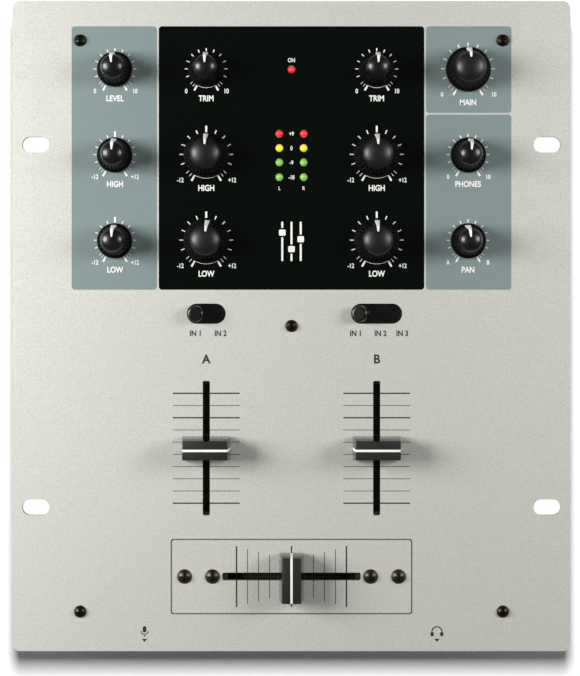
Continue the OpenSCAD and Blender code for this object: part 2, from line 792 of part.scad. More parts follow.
// Rear wall with the flange under the faceplate and the lip that is welded to the floor
module end_sheet() {
    flange_w = chassis_w - 2*sheet_t - 2*seam_gap;
    lip_w = flange_w - 2*fold_r;
    translate([0, 0, foot_h + chassis_h/2]) intersection() {
        rotate([90, 0, 90]) linear_extrude(chassis_w, center = true) difference() {
            round_rect([chassis_d, chassis_h], fold_r + sheet_t);
            round_rect([2*inner_y, chassis_h - 2*sheet_t], fold_r);
            square([2*(rear_y - end_flange), 2*chassis_h], center = true);
            translate([-inner_y, -chassis_h]) square([2*inner_y, chassis_h]);
            translate([-chassis_d, -chassis_h]) square([chassis_d, 2*chassis_h]);
        }
        union() {
            translate([0, inner_y, 0]) rotate([-90, 0, 0]) linear_extrude(sheet_t)
                round_rect([chassis_w, chassis_h], fold_r + sheet_t);
            translate([-flange_w/2, 0, 0]) cube([flange_w, inner_y + sheet_t/2, chassis_h]);
        }
    }
    translate([-lip_w/2, inner_y - weld_lip, floor_z + seam_gap])
        cube([lip_w, weld_lip + sheet_t/2, sheet_t]);
}

module chassis_collars(r, h) {
    for (c = corners) {
        translate([c.x*face_screw_x, c.y*face_screw_y, face_z - sheet_t - collar_h])
            cylinder(r = r, h = h);
        translate([c.x*foot_x, c.y*foot_y, floor_z + collar_h - h])
            cylinder(r = r, h = h);
    }
}

module rear_openings() {
    for (x = phono_x, z = phono_z)
        out_the_back(x, 0, z) cylinder(r = phono_collar_r + hole_gap, h = face_d);
    for (x = phono_x)
        out_the_back(x, 0, phono_mid_z) cylinder(r = screw_hole_r, h = face_d);
    out_the_back(station_x(usb_station), 0, socket_z) linear_extrude(face_d)
        square([usb_w + 2*hole_gap, usb_h + 2*hole_gap], center = true);
    out_the_back(station_x(inlet_station), 0, socket_z)
        cylinder(r = inlet_nose_r + hole_gap, h = face_d);
    out_the_back(power_x, 0, socket_z) linear_extrude(face_d)
        round_rect(cutout, fold_r);
}

// A folded channel and the two end sheets that are welded into it
module chassis() {
    ground_bore_r = ground_r + run_gap;
    color("#2b2c2e") difference() {
        union() {
            chassis_channel();
            rotate(180) end_sheet();
            difference() {
                end_sheet();
                rear_openings();
            }
            chassis_collars(thread_r + collar_wall, collar_h + sheet_t/2);
            out_the_back(ground_x, inner_y - 2*collar_h, socket_z)
                cylinder(r = ground_bore_r + collar_wall, h = 2*collar_h + sheet_t/2);
        }
        chassis_collars(thread_r, 4*collar_h);
        out_the_back(ground_x, 0, socket_z) cylinder(r = ground_bore_r, h = face_d);
        for (s = [-1, 1])
            out_the_front(s*jack_x, 0, jack_z) cylinder(r = jack_nose_r + fit_gap, h = face_d);
    }
}

module feet() {
    color("#161616") for (c = corners)
        translate([c.x*foot_x, c.y*foot_y, 0]) difference() {
            cylinder(r1 = foot_r - foot_taper, r2 = foot_r, h = foot_h);
            translate([0, 0, -foot_recess]) cylinder(r = screw_head_r + hole_gap, h = 2*foot_recess);
            cylinder(r = screw_hole_r, h = foot_h + foot_recess);
        }
}

module machine_screw() {
    pan_screw(screw_head_r, screw_head_h, screw_l);
}

module machine_screws() {
    color("#26262a") {
        for (c = corners)
            on_face(c.x*face_screw_x, c.y*face_screw_y) machine_screw();
        on_face(0, middle_screw_y) machine_screw();
        for (p = concat(standoffs, [[0, middle_screw_y]]))
            translate([p.x, p.y, board_z]) rotate([180, 0, 0]) machine_screw();
        for (c = corners)
            translate([c.x*foot_x, c.y*foot_y, foot_recess]) rotate([180, 0, 0]) machine_screw();
        for (x = phono_x)
            out_the_back(x, rear_y, phono_mid_z) machine_screw();
    }
}

module crossfader_screws() {
    color("#4a463f") for (s = [-1, 1], x = [insert_screw_x, ear_hole_y])
        on_face(s*x, crossfader_y) pan_screw(insert_screw_head_r, screw_head_h, insert_screw_l);
}

// ---- knobs and potentiometers ----

// Round part of a knob, grown by rise for the pointer that lies on it
module knob_form(flange_r, dome_r, rise) {
    crown_z = knob_h - crown_h;
    translate([0, 0, flange_h])
        cylinder(r1 = flange_r - flange_step + rise, r2 = dome_r + dome_step + rise,
                 h = skirt_top - flange_h);
    cylinder(r = dome_r + rise, h = crown_z);
    translate([0, 0, crown_z]) crown(dome_r + rise, crown_h + rise);
}

// Skirt with straight flutes that run up to the dome
module fluted_skirt(flange_r, dome_r, flutes) {
    bottom_r = flange_r - flange_step;
    top_r = dome_r + dome_step;
    translate([0, 0, flange_h/2])
        linear_extrude(skirt_top - flange_h/2, scale = top_r/bottom_r)
            polygon(ridges(flutes, bottom_r, flute_depth));
}

module pointer(flange_r, dome_r) {
    rim_r = flange_r - flange_step/2;
    intersection() {
        linear_extrude(2*knob_h) polygon([
            [-pointer_w/2, rim_r], [pointer_w/2, rim_r],
            [pointer_tip_w/2, pointer_tip_r], [-pointer_tip_w/2, pointer_tip_r]
        ]);
        knob_form(flange_r, dome_r, pointer_rise);
    }
}

// Shaft end with its flat, grown by gap for the bore it fits
module shaft_end(gap, l) {
    difference() {
        cylinder(r = shaft_r + gap, h = l);
        translate([shaft_r - flat_depth + gap, -2*shaft_r, l - flat_l])
            cube([2*shaft_r, 4*shaft_r, 2*flat_l]);
    }
}

module knob(k) {
    flange_r = k[2];
    dome_r = k[3];
    hollow_r = flange_r - flange_step - flute_depth - knob_wall;
    hollow_top_r = hollow_r - hollow_h*(flange_r - flange_step - dome_r - dome_step)/(skirt_top - flange_h);
    color(gloss_black) translate([k.x, k.y, knob_z]) rotate(-k[5]) difference() {
        union() {
            rotate_extrude() {
                square([flange_r - flange_step/4, flange_h]);
                square([flange_r, flange_h - flange_step/4]);
                translate([flange_r - flange_step/4, flange_h - flange_step/4]) circle(flange_step/4);
            }
            fluted_skirt(flange_r, dome_r, k[4]);
            cylinder(r = dome_r, h = knob_h - crown_h);
            translate([0, 0, knob_h - crown_h]) crown(dome_r, crown_h);
            pointer(flange_r, dome_r);
        }
        difference() {
            translate([0, 0, -hole_gap])
                cylinder(r1 = hollow_r, r2 = hollow_top_r, h = hollow_h + hole_gap);
            translate([0, 0, hub_bottom]) cylinder(r = hub_r, h = hollow_h);
        }
        translate([0, 0, -knob_lift]) shaft_end(fit_gap, shaft_rise + fit_gap);
    }
}

module pot_shaft(k) {
    foot_z = board_top + pot_floor + run_gap;
    color(steel) translate([k.x, k.y, 0]) rotate(-k[5]) {
        translate([0, 0, foot_z]) cylinder(r = rotor_r, h = rotor_h);
        translate([0, 0, foot_z]) cylinder(r = shaft_r, h = face_top - foot_z + shaft_rise/4);
        translate([0, 0, face_top]) shaft_end(0, shaft_rise);
    }
}

module pot_bodies() {
    tag = [pot_w/8, pot_w/8, pot_h/2];
    color(steel) for (k = knobs)
        translate([k.x, k.y, board_top]) difference() {
            union() {
                linear_extrude(pot_h) round_rect([pot_w, pot_d], pot_r);
                cylinder(r = bush_r, h = board_gap + face_t + bush_rise);
                for (i = [-1:1])
                    translate([i*pot_w/4 - tag.x/2, -pot_d/2 - tag.y, 0])
                        cube([tag.x, 2*tag.y, tag.z]);
            }
            translate([0, 0, pot_floor])
                cylinder(r = rotor_r + pass_gap, h = rotor_h + 2*run_gap);
            translate([0, 0, pot_floor]) cylinder(r = bush_bore_r, h = board_gap + 2*knob_h);
        }
}

// ---- faders, drawn along Y with z = 0 at the top of the frame ----

module fader_places(gap = 0) {
    for (s = [-1, 1])
        translate([s*inner_x, fader_y, frame_top]) children();
    translate([0, crossfader_y, insert_z]) rotate(-90) children();
}

module fader_frame() {
    inside = frame_w - 2*frame_t;
    translate([0, 0, -frame_t]) linear_extrude(frame_t) difference() {
        round_rect([frame_w, frame_l], ear_end/2);
        square([lever_t + 2*frame_t, slot_reach + 2*pass_gap], center = true);
        for (s = [-1, 1])
            translate([0, s*ear_hole_y]) circle(thread_r);
    }
    difference() {
        translate([-frame_w/2, -channel_l/2, -frame_h]) cube([frame_w, channel_l, frame_h - frame_t/2]);
        translate([-inside/2, frame_t - channel_l/2, -2*frame_h])
            cube([inside, channel_l - 2*frame_t, 2*frame_h + frame_t]);
        fader_rail_pair(fit_gap);
    }
    for (x = [-frame_w/2, frame_w/2 - frame_t], s = [-1, 1])
        translate([x, s*channel_l/4 - leg_l/2, -frame_h - leg_h]) cube([frame_t, leg_l, leg_h + frame_t]);
}

module fader_rail_pair(gap) {
    for (s = [-1, 1])
        translate([s*rail_pitch/2, 0, -rail_drop]) rotate([90, 0, 0])
            cylinder(r = rail_r + gap, h = channel_l + 2*gap, center = true);
}

module fader_frames() {
    color(steel) fader_places() fader_frame();
}

module fader_cards() {
    size = [frame_w - 2*frame_t - 2*fit_gap, channel_l - 2*frame_t - 2*fit_gap, card_t];
    color("#7a4a2a") fader_places() translate([-size.x/2, -size.y/2, -card_drop - card_t]) cube(size);
}

module fader_rails() {
    color("#c8ccd0") fader_places() fader_rail_pair(0);
}

// Carriage on its two rails, with the wiper below and the lever above
module fader_carriage(top_z) {
    wiper_h = card_drop - carriage_drop - pass_gap;
    difference() {
        translate([-carriage_w/2, -carriage_l/2, -carriage_drop]) cube([carriage_w, carriage_l, carriage_h]);
        for (s = [-1, 1])
            translate([s*rail_pitch/2, 0, -rail_drop]) rotate([90, 0, 0])
                cylinder(r = rail_r + run_gap, h = 2*carriage_l, center = true);
        translate([0, 0, -carriage_drop]) cube([wiper_w, carriage_l/2, frame_t], center = true);
    }
    for (s = [-1, 1])
        translate([s*wiper_w/4 - wiper_w/8, -wiper_l/2, -carriage_drop - wiper_h])
            cube([wiper_w/4, wiper_l, wiper_h + frame_t]);
    translate([-lever_t/2, -lever_l/2, -rail_drop]) cube([lever_t, lever_l, top_z + rail_drop]);
}

module ch1_fader_carriage() {
    color(plastic_black) translate([-inner_x, fader_y, frame_top]) fader_carriage(lever_top - frame_top);
}

module ch2_fader_carriage() {
    color(plastic_black) translate([inner_x, fader_y, frame_top]) fader_carriage(lever_top - frame_top);
}

module crossfader_carriage() {
    color(plastic_black) translate([0, crossfader_y, insert_z]) rotate(-90)
        fader_carriage(lever_top - insert_z);
}

// Hollow cap that grips the lever, with a line groove round its middle
module fader_cap() {
    inner_base = cap_base - 2*[cap_wall, cap_wall];
    inner_top = cap_top - 2*[cap_wall, cap_wall];
    grip = [lever_t + 2*cap_wall, lever_l + 2*cap_wall];
    color(gloss_black) difference() {
        leaning_block(cap_base, cap_top, cap_h);
        difference() {
            translate([0, 0, -fit_gap]) leaning_block(inner_base, inner_top, cap_h - cap_wall);
            translate([-grip.x/2, -grip.y/2, cap_wall]) cube([grip.x, grip.y, cap_h]);
            translate([-cap_base.x/2, -cap_wall/2, cap_h/2]) cube([cap_base.x, cap_wall, cap_h]);
        }
        translate([-lever_t/2 - fit_gap, -lever_l/2 - fit_gap, -cap_wall])
            cube([lever_t + 2*fit_gap, lever_l + 2*fit_gap, lever_grip + cap_wall + fit_gap]);
        difference() {
            translate([-cap_base.x, -cap_groove_w/2, -cap_h]) cube([2*cap_base.x, cap_groove_w, 3*cap_h]);
            leaning_block(cap_base - 2*[cap_groove_depth, 0], cap_top - 2*[cap_groove_depth, 0],
                          cap_h - cap_groove_depth);
        }
    }
}

module ch1_fader_cap() {
    translate([-inner_x, fader_y, cap_z]) fader_cap();
}

module ch2_fader_cap() {
    translate([inner_x, fader_y, cap_z]) fader_cap();
}

module crossfader_cap() {
    translate([0, crossfader_y, cap_z]) rotate(-90) fader_cap();
}

// ---- source switches, at rest against the left end of their travel ----

// Leaning part of a switch cap, tapered, with a rounded edge, on the plane where it begins
module switch_cap_top(h, lean) {
    foot = 2*switch_cap_bend;
    r = switch_cap_r - switch_cap_ledge;
    edge = switch_cap_edge;
    draft = switch_cap_draft;
    x = r - (h - edge)*tan(draft) - edge/cos(draft);
    intersection() {
        rotate([0, -lean, 0]) rotate_extrude() {
            polygon([[0, -foot], [r + foot*tan(draft), -foot],
                     [x + edge*cos(draft), h - edge + edge*sin(draft)], [x, h], [0, h]]);
            translate([x, h - edge]) intersection() {
                circle(edge);
                square(edge);
            }
        }
        translate([-2*switch_cap_r, -2*switch_cap_r, 0])
            cube([4*switch_cap_r, 4*switch_cap_r, 2*h]);
    }
}

// Cap, dust plate, neck and slider in one moulding
module source_switch(travel, lean) {
    dust_l = 2*travel + opening_w + 2*dust_overlap;
    dust_w = opening_w + 2*dust_overlap;
    cap_bottom = dust_top - dust_t/2;
    bend_z = face_top + switch_cap_bend;
    neck_l = slider_l - 2*can_t;
    color(gloss_black) translate([-travel/2, 0, 0]) {
        translate([0, 0, cap_bottom]) cylinder(r = switch_cap_r, h = bend_z - cap_bottom);
        translate([0, 0, bend_z]) switch_cap_top(switch_cap_rise - switch_cap_bend, lean);
        translate([0, 0, dust_top - dust_t]) linear_extrude(dust_t)
            round_rect([dust_l, dust_w], dust_overlap);
        translate([-neck_l/2, -neck_w/2, slider_top - slider_h])
            cube([neck_l, neck_w, dust_top - dust_t/2 - slider_top + slider_h]);
        translate([-slider_l/2, -slider_w/2, slider_top - slider_h])
            cube([slider_l, slider_w, slider_h]);
    }
}

module ch1_source_switch() {
    translate([-inner_x, switch_y, 0]) source_switch(ch1_switch_travel, ch1_switch_lean);
}

module ch2_source_switch() {
    translate([inner_x, switch_y, 0]) source_switch(ch2_switch_travel, ch2_switch_lean);
}

module source_switch_frame(travel) {
    inside = [travel + slider_l + 2*pass_gap, slider_w + 2*pass_gap];
    outside = inside + 2*[can_t, can_t];
    slot = [travel + slider_l - 2*can_t + 2*pass_gap, neck_w + 2*pass_gap];
    translate([0, 0, board_top]) difference() {
        linear_extrude(can_h) square(outside, center = true);
        translate([0, 0, can_floor]) linear_extrude(can_h - can_floor - can_t) square(inside, center = true);
        translate([0, 0, can_floor]) linear_extrude(can_h) square(slot, center = true);
    }
}

module source_switch_frames() {
    color(steel) {
        translate([-inner_x, switch_y, 0]) source_switch_frame(ch1_switch_travel);
        translate([inner_x, switch_y, 0]) source_switch_frame(ch2_switch_travel);
    }
}

// ---- lights ----

function meter_row(i) =
    [for (s = [-1, 1]) [s*meter_x, row_y[1] + meter_rise - i*meter_pitch]];
function red_places() = concat([[0, row_y[0]]], meter_row(0));
function yellow_places() = meter_row(1);
function green_places() = concat(meter_row(2), meter_row(3));

module light() {
    rim_z = -face_t - pass_gap - light_rim_h;
    translate([0, 0, rim_z]) cylinder(r = light_rim_r, h = light_rim_h);
    translate([0, 0, rim_z]) cylinder(r = light_r, h = light_rise - light_r - rim_z);
    translate([0, 0, light_rise - light_r]) sphere(light_r);
    for (s = [-1, 1])
        translate([s*light_leg_pitch/2 - light_leg_w/2, -light_leg_w/2, board_top - face_top])
            cube([light_leg_w, light_leg_w, rim_z + light_rim_h/2 - board_top + face_top]);
}

module red_lights() {
    color("#e8222c") for (p = red_places())
        on_face(p.x, p.y) light();
}

module yellow_lights() {
    color("#f4e21a") for (p = yellow_places())
        on_face(p.x, p.y) light();
}

module green_lights() {
    color("#6fc24a") for (p = green_places())
        on_face(p.x, p.y) light();
}

// ---- boards ----

module main_board() {
    mid_y = (board_rear + board_front)/2;
    color(board_green) {
        translate([0, mid_y, board_z]) linear_extrude(board_t) difference() {
            round_rect([2*board_x, board_rear - board_front], board_r);
            for (p = concat(standoffs, [[0, middle_screw_y]]))
                translate([p.x, p.y - mid_y]) circle(screw_hole_r);
        }
        for (x = [-outer_x, -inner_x, inner_x, outer_x], y = row_y) {
            translate([x - chip_l/2, y - row_pitch/3 - chip_w/2, board_z - chip_h])
                cube([chip_l, chip_w, chip_h + board_t/2]);
            translate([x + chip_l, y - row_pitch/3, board_z - capacitor_h])
                cylinder(r = capacitor_r, h = capacitor_h + board_t/2);
        }
    }
}

module io_board() {
    left = station_x(0) - phono_block_w/2;
    right = station_x(inlet_station) + inlet_w/2;
    size = [right - left, board_z - io_z];
    color(board_green) {
        out_the_back((left + right)/2, io_front - board_t, io_z + size.y/2)
            linear_extrude(board_t) round_rect(size, board_r/2);
        translate([(left + right)/2 - header_w/2, io_front - board_t - header_d, board_z - header_h])
            cube([header_w, header_d + board_t/2, header_h]);
    }
}

module board_standoffs() {
    hex_r = standoff_af/2/cos(30);
    color("#b9a45c") {
        for (p = standoffs)
            translate([p.x, p.y, board_top]) difference() {
                union() {
                    cylinder(r = hex_r, h = board_gap, $fn = 6);
                    cylinder(r = spigot_r, h = board_gap + spigot_h);
                }
                translate([0, 0, -board_t]) cylinder(r = thread_r, h = screw_l + board_t);
            }
        translate([0, middle_screw_y, board_top]) difference() {
            cylinder(r = hex_r, h = board_gap, $fn = 6);
            translate([0, 0, -board_t]) cylinder(r = thread_r, h = board_gap + 2*board_t);
        }
    }
}

// ---- rear connectors ----

module rca_blocks() {
    block_h = phono_pitch + phono_block_w;
    color(plastic_black) for (x = phono_x)
        out_the_back(x, io_front, phono_mid_z) difference() {
            union() {
                linear_extrude(io_gap) round_rect([phono_block_w, block_h], block_r);
                for (s = [-1, 1])
                    translate([0, s*phono_pitch/2, 0])
                        cylinder(r = phono_collar_r, h = io_gap + sheet_t + phono_collar_out);
            }
            for (s = [-1, 1])
                translate([0, s*phono_pitch/2, io_gap - sleeve_in])
                    cylinder(r = sleeve_r - sleeve_step + fit_gap, h = 2*sleeve_in);
            translate([0, 0, io_gap + sheet_t - screw_l - fit_gap])
                cylinder(r = thread_r, h = 2*screw_l);
        }
}

// Sleeves whose shoulder sits on the collar of the block
module rca_sleeves() {
    length = sleeve_in + sheet_t + sleeve_out;
    color("#c9ccd0") for (x = phono_x, z = phono_z)
        out_the_back(x, rear_y + sleeve_out - length, z) difference() {
            union() {
                cylinder(r = sleeve_r - sleeve_step, h = length);
                translate([0, 0, length - sleeve_out + phono_collar_out])
                    cylinder(r = sleeve_r, h = sleeve_out - phono_collar_out);
            }
            translate([0, 0, -length]) cylinder(r = sleeve_r - sleeve_wall, h = 3*length);
        }
}

module rca_insert() {
    length = sleeve_in + sheet_t + sleeve_out - insert_step;
    difference() {
        cylinder(r = sleeve_r - sleeve_wall - fit_gap, h = length);
        translate([0, 0, length - centre_hole_l]) cylinder(r = centre_hole_r, h = length);
    }
}

module rca_inserts() {
    for (x = phono_x) {
        color("#b3202a") out_the_back(x, inner_y - sleeve_in, phono_z[0]) rca_insert();
        color("#e9e9e6") out_the_back(x, inner_y - sleeve_in, phono_z[1]) rca_insert();
    }
}

// Outline of the data socket's opening, with two chamfered corners at the top
module usb_mouth() {
    w = usb_mouth_w/2;
    h = usb_mouth_h/2;
    polygon([[-w, h], [w, h], [w, usb_chamfer - h], [w - usb_chamfer, -h],
             [usb_chamfer - w, -h], [-w, usb_chamfer - h]]);
}

module usb_socket() {
    depth = io_gap + sheet_t + socket_out;
    color("#b4b8bc") out_the_back(station_x(usb_station), io_front, socket_z) difference() {
        linear_extrude(depth) round_rect([usb_w, usb_h], block_r);
        difference() {
            translate([0, 0, depth - usb_depth]) linear_extrude(2*usb_depth) usb_mouth();
            linear_extrude(depth - socket_out - sheet_t/2)
                square([usb_tongue_w, usb_tongue_h], center = true);
        }
    }
}

module dc_inlet() {
    depth = io_gap + sheet_t + socket_out;
    color(plastic_black) out_the_back(station_x(inlet_station), io_front, socket_z) {
        difference() {
            union() {
                linear_extrude(io_gap) round_rect([inlet_w, inlet_h], block_r);
                cylinder(r = inlet_nose_r, h = depth);
            }
            translate([0, 0, depth - inlet_depth]) cylinder(r = inlet_bore_r, h = 2*inlet_depth);
        }
        translate([0, 0, depth - inlet_depth - inlet_pin_step])
            cylinder(r = inlet_pin_r, h = inlet_depth);
    }
}

// ---- power switch, with its rocker tilted in at the top ----

module power_switch_frame() {
    body = cutout - 2*[fit_gap, fit_gap];
    color(plastic_black) difference() {
        union() {
            out_the_back(power_x, rear_y, socket_z) linear_extrude(bezel_t)
                round_rect([bezel_w, bezel_h], fold_r);
            out_the_back(power_x, rear_y - rocker_body_d, socket_z)
                linear_extrude(rocker_body_d + bezel_t/2) round_rect(body, fold_r);
        }
        out_the_back(power_x, pivot_y - rocker_l/2, socket_z) linear_extrude(rocker_l)
            square(pocket, center = true);
        translate([power_x, pivot_y, socket_z]) rotate([0, 90, 0])
            cylinder(r = stub_r + run_gap, h = rocker_w + 2*stub_l + 4*run_gap, center = true);
    }
}

module power_rocker() {
    half_l = rocker_l/2;
    end_rise = rocker_rise + half_l*tan(rocker_tilt);
    color(gloss_black) translate([power_x, pivot_y, socket_z]) rotate([rocker_tilt, 0, 0]) {
        rotate([0, 90, 0]) {
            cylinder(r = stub_r, h = rocker_w + 2*stub_l, center = true);
            linear_extrude(rocker_w, center = true) polygon([
                [-half_l, end_rise], [0, rocker_rise], [half_l, end_rise],
                [half_l - rocker_rise/4, 0], [half_l/3, -rocker_depth],
                [-half_l/3, -rocker_depth], [rocker_rise/4 - half_l, 0]
            ]);
        }
    }
}

// ---- ground terminal ----

module ground_washer() {
    color(steel) out_the_back(ground_x, rear_y, socket_z) difference() {
        cylinder(r = washer_r, h = washer_t);
        translate([0, 0, -washer_t]) cylinder(r = ground_r + run_gap, h = 3*washer_t);
    }
}

module ground_screw() {
    color("#c8ccd0") out_the_back(ground_x, rear_y + washer_t + fit_gap, socket_z) {
        translate([0, 0, -ground_l]) cylinder(r = ground_r, h = ground_l + ground_head_h/2);
        linear_extrude(ground_head_h) polygon(ridges(ground_ridges, ground_head_r, ground_knurl));
    }
}

// ---- front sockets ----

module jack_sockets() {
    nose_l = sheet_t + jack_out;
    body_l = jack_depth - nose_l + jack_end_wall;
    color(plastic_black) for (s = [-1, 1])
        out_the_front(s*jack_x, -inner_y, jack_z) difference() {
            union() {
                translate([0, 0, -body_l]) linear_extrude(body_l) round_rect([jack_w, jack_h], fold_r);
                translate([0, 0, -body_l/2]) cylinder(r = jack_nose_r, h = body_l/2 + nose_l);
            }
            translate([0, 0, nose_l - jack_depth]) cylinder(r = jack_r, h = 2*jack_depth);
        }
}

module jack_nuts() {
    color(plastic_black) for (s = [-1, 1])
        out_the_front(s*jack_x, -rear_y, jack_z) difference() {
            cylinder(r = jack_nut_af/2/cos(30), h = jack_nut_t, $fn = 6);
            translate([0, 0, -jack_nut_t]) cylinder(r = jack_nose_r + fit_gap, h = 3*jack_nut_t);
        }
}

// ---- one module for each knob and its shaft ----

module mic_gain_knob() { knob(mic_gain); }
module mic_treble_knob() { knob(mic_treble); }
module mic_bass_knob() { knob(mic_bass); }
module ch1_gain_knob() { knob(ch1_gain); }
module ch1_treble_knob() { knob(ch1_treble); }
module ch1_bass_knob() { knob(ch1_bass); }
module ch2_gain_knob() { knob(ch2_gain); }
module ch2_treble_knob() { knob(ch2_treble); }
module ch2_bass_knob() { knob(ch2_bass); }
module master_knob() { knob(master); }
module cue_gain_knob() { knob(cue_gain); }
module cue_mix_knob() { knob(cue_mix); }
module mic_gain_shaft() { pot_shaft(mic_gain); }
module mic_treble_shaft() { pot_shaft(mic_treble); }
module mic_bass_shaft() { pot_shaft(mic_bass); }
module ch1_gain_shaft() { pot_shaft(ch1_gain); }
module ch1_treble_shaft() { pot_shaft(ch1_treble); }
module ch1_bass_shaft() { pot_shaft(ch1_bass); }
module ch2_gain_shaft() { pot_shaft(ch2_gain); }
module ch2_treble_shaft() { pot_shaft(ch2_treble); }
module ch2_bass_shaft() { pot_shaft(ch2_bass); }
module master_shaft() { pot_shaft(master); }
module cue_gain_shaft() { pot_shaft(cue_gain); }
module cue_mix_shaft() { pot_shaft(cue_mix); }

faceplate();
crossfader_plate();
chassis();
machine_screws();
crossfader_screws();
feet();
mic_gain_knob();
mic_treble_knob();
mic_bass_knob();
ch1_gain_knob();
ch1_treble_knob();
ch1_bass_knob();
ch2_gain_knob();
ch2_treble_knob();
ch2_bass_knob();
master_knob();
cue_gain_knob();
cue_mix_knob();
mic_gain_shaft();
mic_treble_shaft();
mic_bass_shaft();
ch1_gain_shaft();
ch1_treble_shaft();
ch1_bass_shaft();
ch2_gain_shaft();
ch2_treble_shaft();
ch2_bass_shaft();
master_shaft();
cue_gain_shaft();
cue_mix_shaft();
pot_bodies();
fader_frames();
fader_cards();
fader_rails();
ch1_fader_carriage();
ch2_fader_carriage();
crossfader_carriage();
ch1_fader_cap();
ch2_fader_cap();
crossfader_cap();
ch1_source_switch();
ch2_source_switch();
source_switch_frames();
red_lights();
yellow_lights();
green_lights();
main_board();
io_board();
board_standoffs();
rca_blocks();
rca_sleeves();
rca_inserts();
usb_socket();
dc_inlet();
power_switch_frame();
power_rocker();
jack_sockets();
jack_nuts();
ground_screw();
ground_washer();
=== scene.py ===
"""Finishes, print, knobs, caps and stage of a two channel disc jockey mixer, laid round its frame."""

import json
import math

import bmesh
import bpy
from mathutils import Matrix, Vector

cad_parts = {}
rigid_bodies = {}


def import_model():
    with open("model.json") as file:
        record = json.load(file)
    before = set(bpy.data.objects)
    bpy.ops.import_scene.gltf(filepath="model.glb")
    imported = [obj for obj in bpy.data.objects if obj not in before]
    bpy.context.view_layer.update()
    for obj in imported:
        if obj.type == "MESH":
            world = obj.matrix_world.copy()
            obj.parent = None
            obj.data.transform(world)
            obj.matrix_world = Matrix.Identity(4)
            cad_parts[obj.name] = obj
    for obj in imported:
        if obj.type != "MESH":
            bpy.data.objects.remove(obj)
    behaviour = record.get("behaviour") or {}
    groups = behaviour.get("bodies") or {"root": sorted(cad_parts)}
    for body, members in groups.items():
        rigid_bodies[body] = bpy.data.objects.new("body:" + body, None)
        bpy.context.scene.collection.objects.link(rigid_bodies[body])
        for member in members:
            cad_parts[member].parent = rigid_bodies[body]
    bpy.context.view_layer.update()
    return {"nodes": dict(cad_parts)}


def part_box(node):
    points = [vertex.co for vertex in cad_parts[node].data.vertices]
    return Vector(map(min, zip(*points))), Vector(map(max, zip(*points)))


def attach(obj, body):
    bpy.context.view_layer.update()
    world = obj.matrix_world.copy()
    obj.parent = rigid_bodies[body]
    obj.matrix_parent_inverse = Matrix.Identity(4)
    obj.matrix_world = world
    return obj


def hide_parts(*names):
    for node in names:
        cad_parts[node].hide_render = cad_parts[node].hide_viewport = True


bl_info = {
    "name": "Disc Jockey Mixer",
    "version": (1, 0, 0),
    "blender": (4, 5, 0),
    "location": "3D View > Sidebar > Mixer",
    "description": "Finishes, printed scales, knobs, caps and stage of a two channel mixer",
    "category": "Object",
}

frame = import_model()

MM = 0.001
FACE_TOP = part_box("faceplate")[1].z
KNOBS = (
    "mic_gain", "mic_treble", "mic_bass", "ch1_gain", "ch1_treble", "ch1_bass",
    "ch2_gain", "ch2_treble", "ch2_bass", "master", "cue_gain", "cue_mix",
)
LARGE_KNOBS = ("ch1_treble", "ch1_bass", "ch2_treble", "ch2_bass", "master")
SMALL_KNOBS = [knob for knob in KNOBS if knob not in LARGE_KNOBS]
TONE_KNOBS = ("mic_treble", "mic_bass", "ch1_treble", "ch1_bass", "ch2_treble", "ch2_bass")
CHANNEL_CAPS = ("ch1_fader_cap", "ch2_fader_cap")
RACK_SLOTS = [(x*116.4*MM, y*82.55*MM) for x in (-1, 1) for y in (-1, 1)]
# Place and size of each lamp
LEFT_LAMP = (-0.76, 0.135, 0.56), (0.38, 0.5)
RIGHT_LAMP = (0.76, 0.18, 0.56), (0.33, 0.4)
OVERHEAD_LAMP = (0, 0.113, 0.871), (0.07, 0.12)
# Brightness of the right lamp beside the left one
RIGHT_SHARE = 0.65


def srgb(red, green, blue):
    """Linear colour of a display colour whose parts run from 0 to 255."""
    def linear(part):
        share = part/255
        return share/12.92 if share <= 0.04045 else ((share + 0.055)/1.055)**2.4
    return linear(red), linear(green), linear(blue)


def middle(node):
    """Middle of a frame node's box."""
    low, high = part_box(node)
    return (low + high)/2


DIALS = {knob: middle(knob + "_knob").xy for knob in KNOBS}


# ---- what a user may change ----

def colour(name, description, red, green, blue):
    return bpy.props.FloatVectorProperty(
        name=name, description=description, subtype="COLOR", size=3, min=0, max=1,
        default=srgb(red, green, blue),
    )


def length(name, description, millimetres):
    return bpy.props.FloatProperty(
        name=name, description=description, default=millimetres*MM, min=0, unit="LENGTH",
    )


def share(name, description, default, high=1):
    return bpy.props.FloatProperty(
        name=name, description=description, default=default, min=0, max=high, subtype="FACTOR",
    )


class MixerColours(bpy.types.PropertyGroup):
    """Colours of the finishes."""

    silver: colour("Silver", "Paint of the faceplate", 221, 221, 213)
    grey_panel: colour("Grey panel", "Print under the outer knobs", 132, 147, 146)
    black_panel: colour("Black panel", "Print under the channel knobs", 4, 9, 5)
    white_ink: colour("White ink", "Ticks and lettering on the panels", 250, 250, 246)
    dark_ink: colour("Dark ink", "Ticks and lettering on the silver", 40, 38, 30)
    gloss_black: colour("Gloss black", "Knobs and caps", 14, 13, 11)
    pointer_white: colour("Pointer white", "Pointers and cap lines", 244, 243, 236)
    powder_black: colour("Powder black", "Paint of the chassis", 38, 39, 41)
    red: colour("Red light", "Power light and top of the meter", 226, 38, 52)
    yellow: colour("Yellow light", "Second row of the meter", 238, 226, 30)
    green: colour("Green light", "Lower rows of the meter", 128, 188, 78)


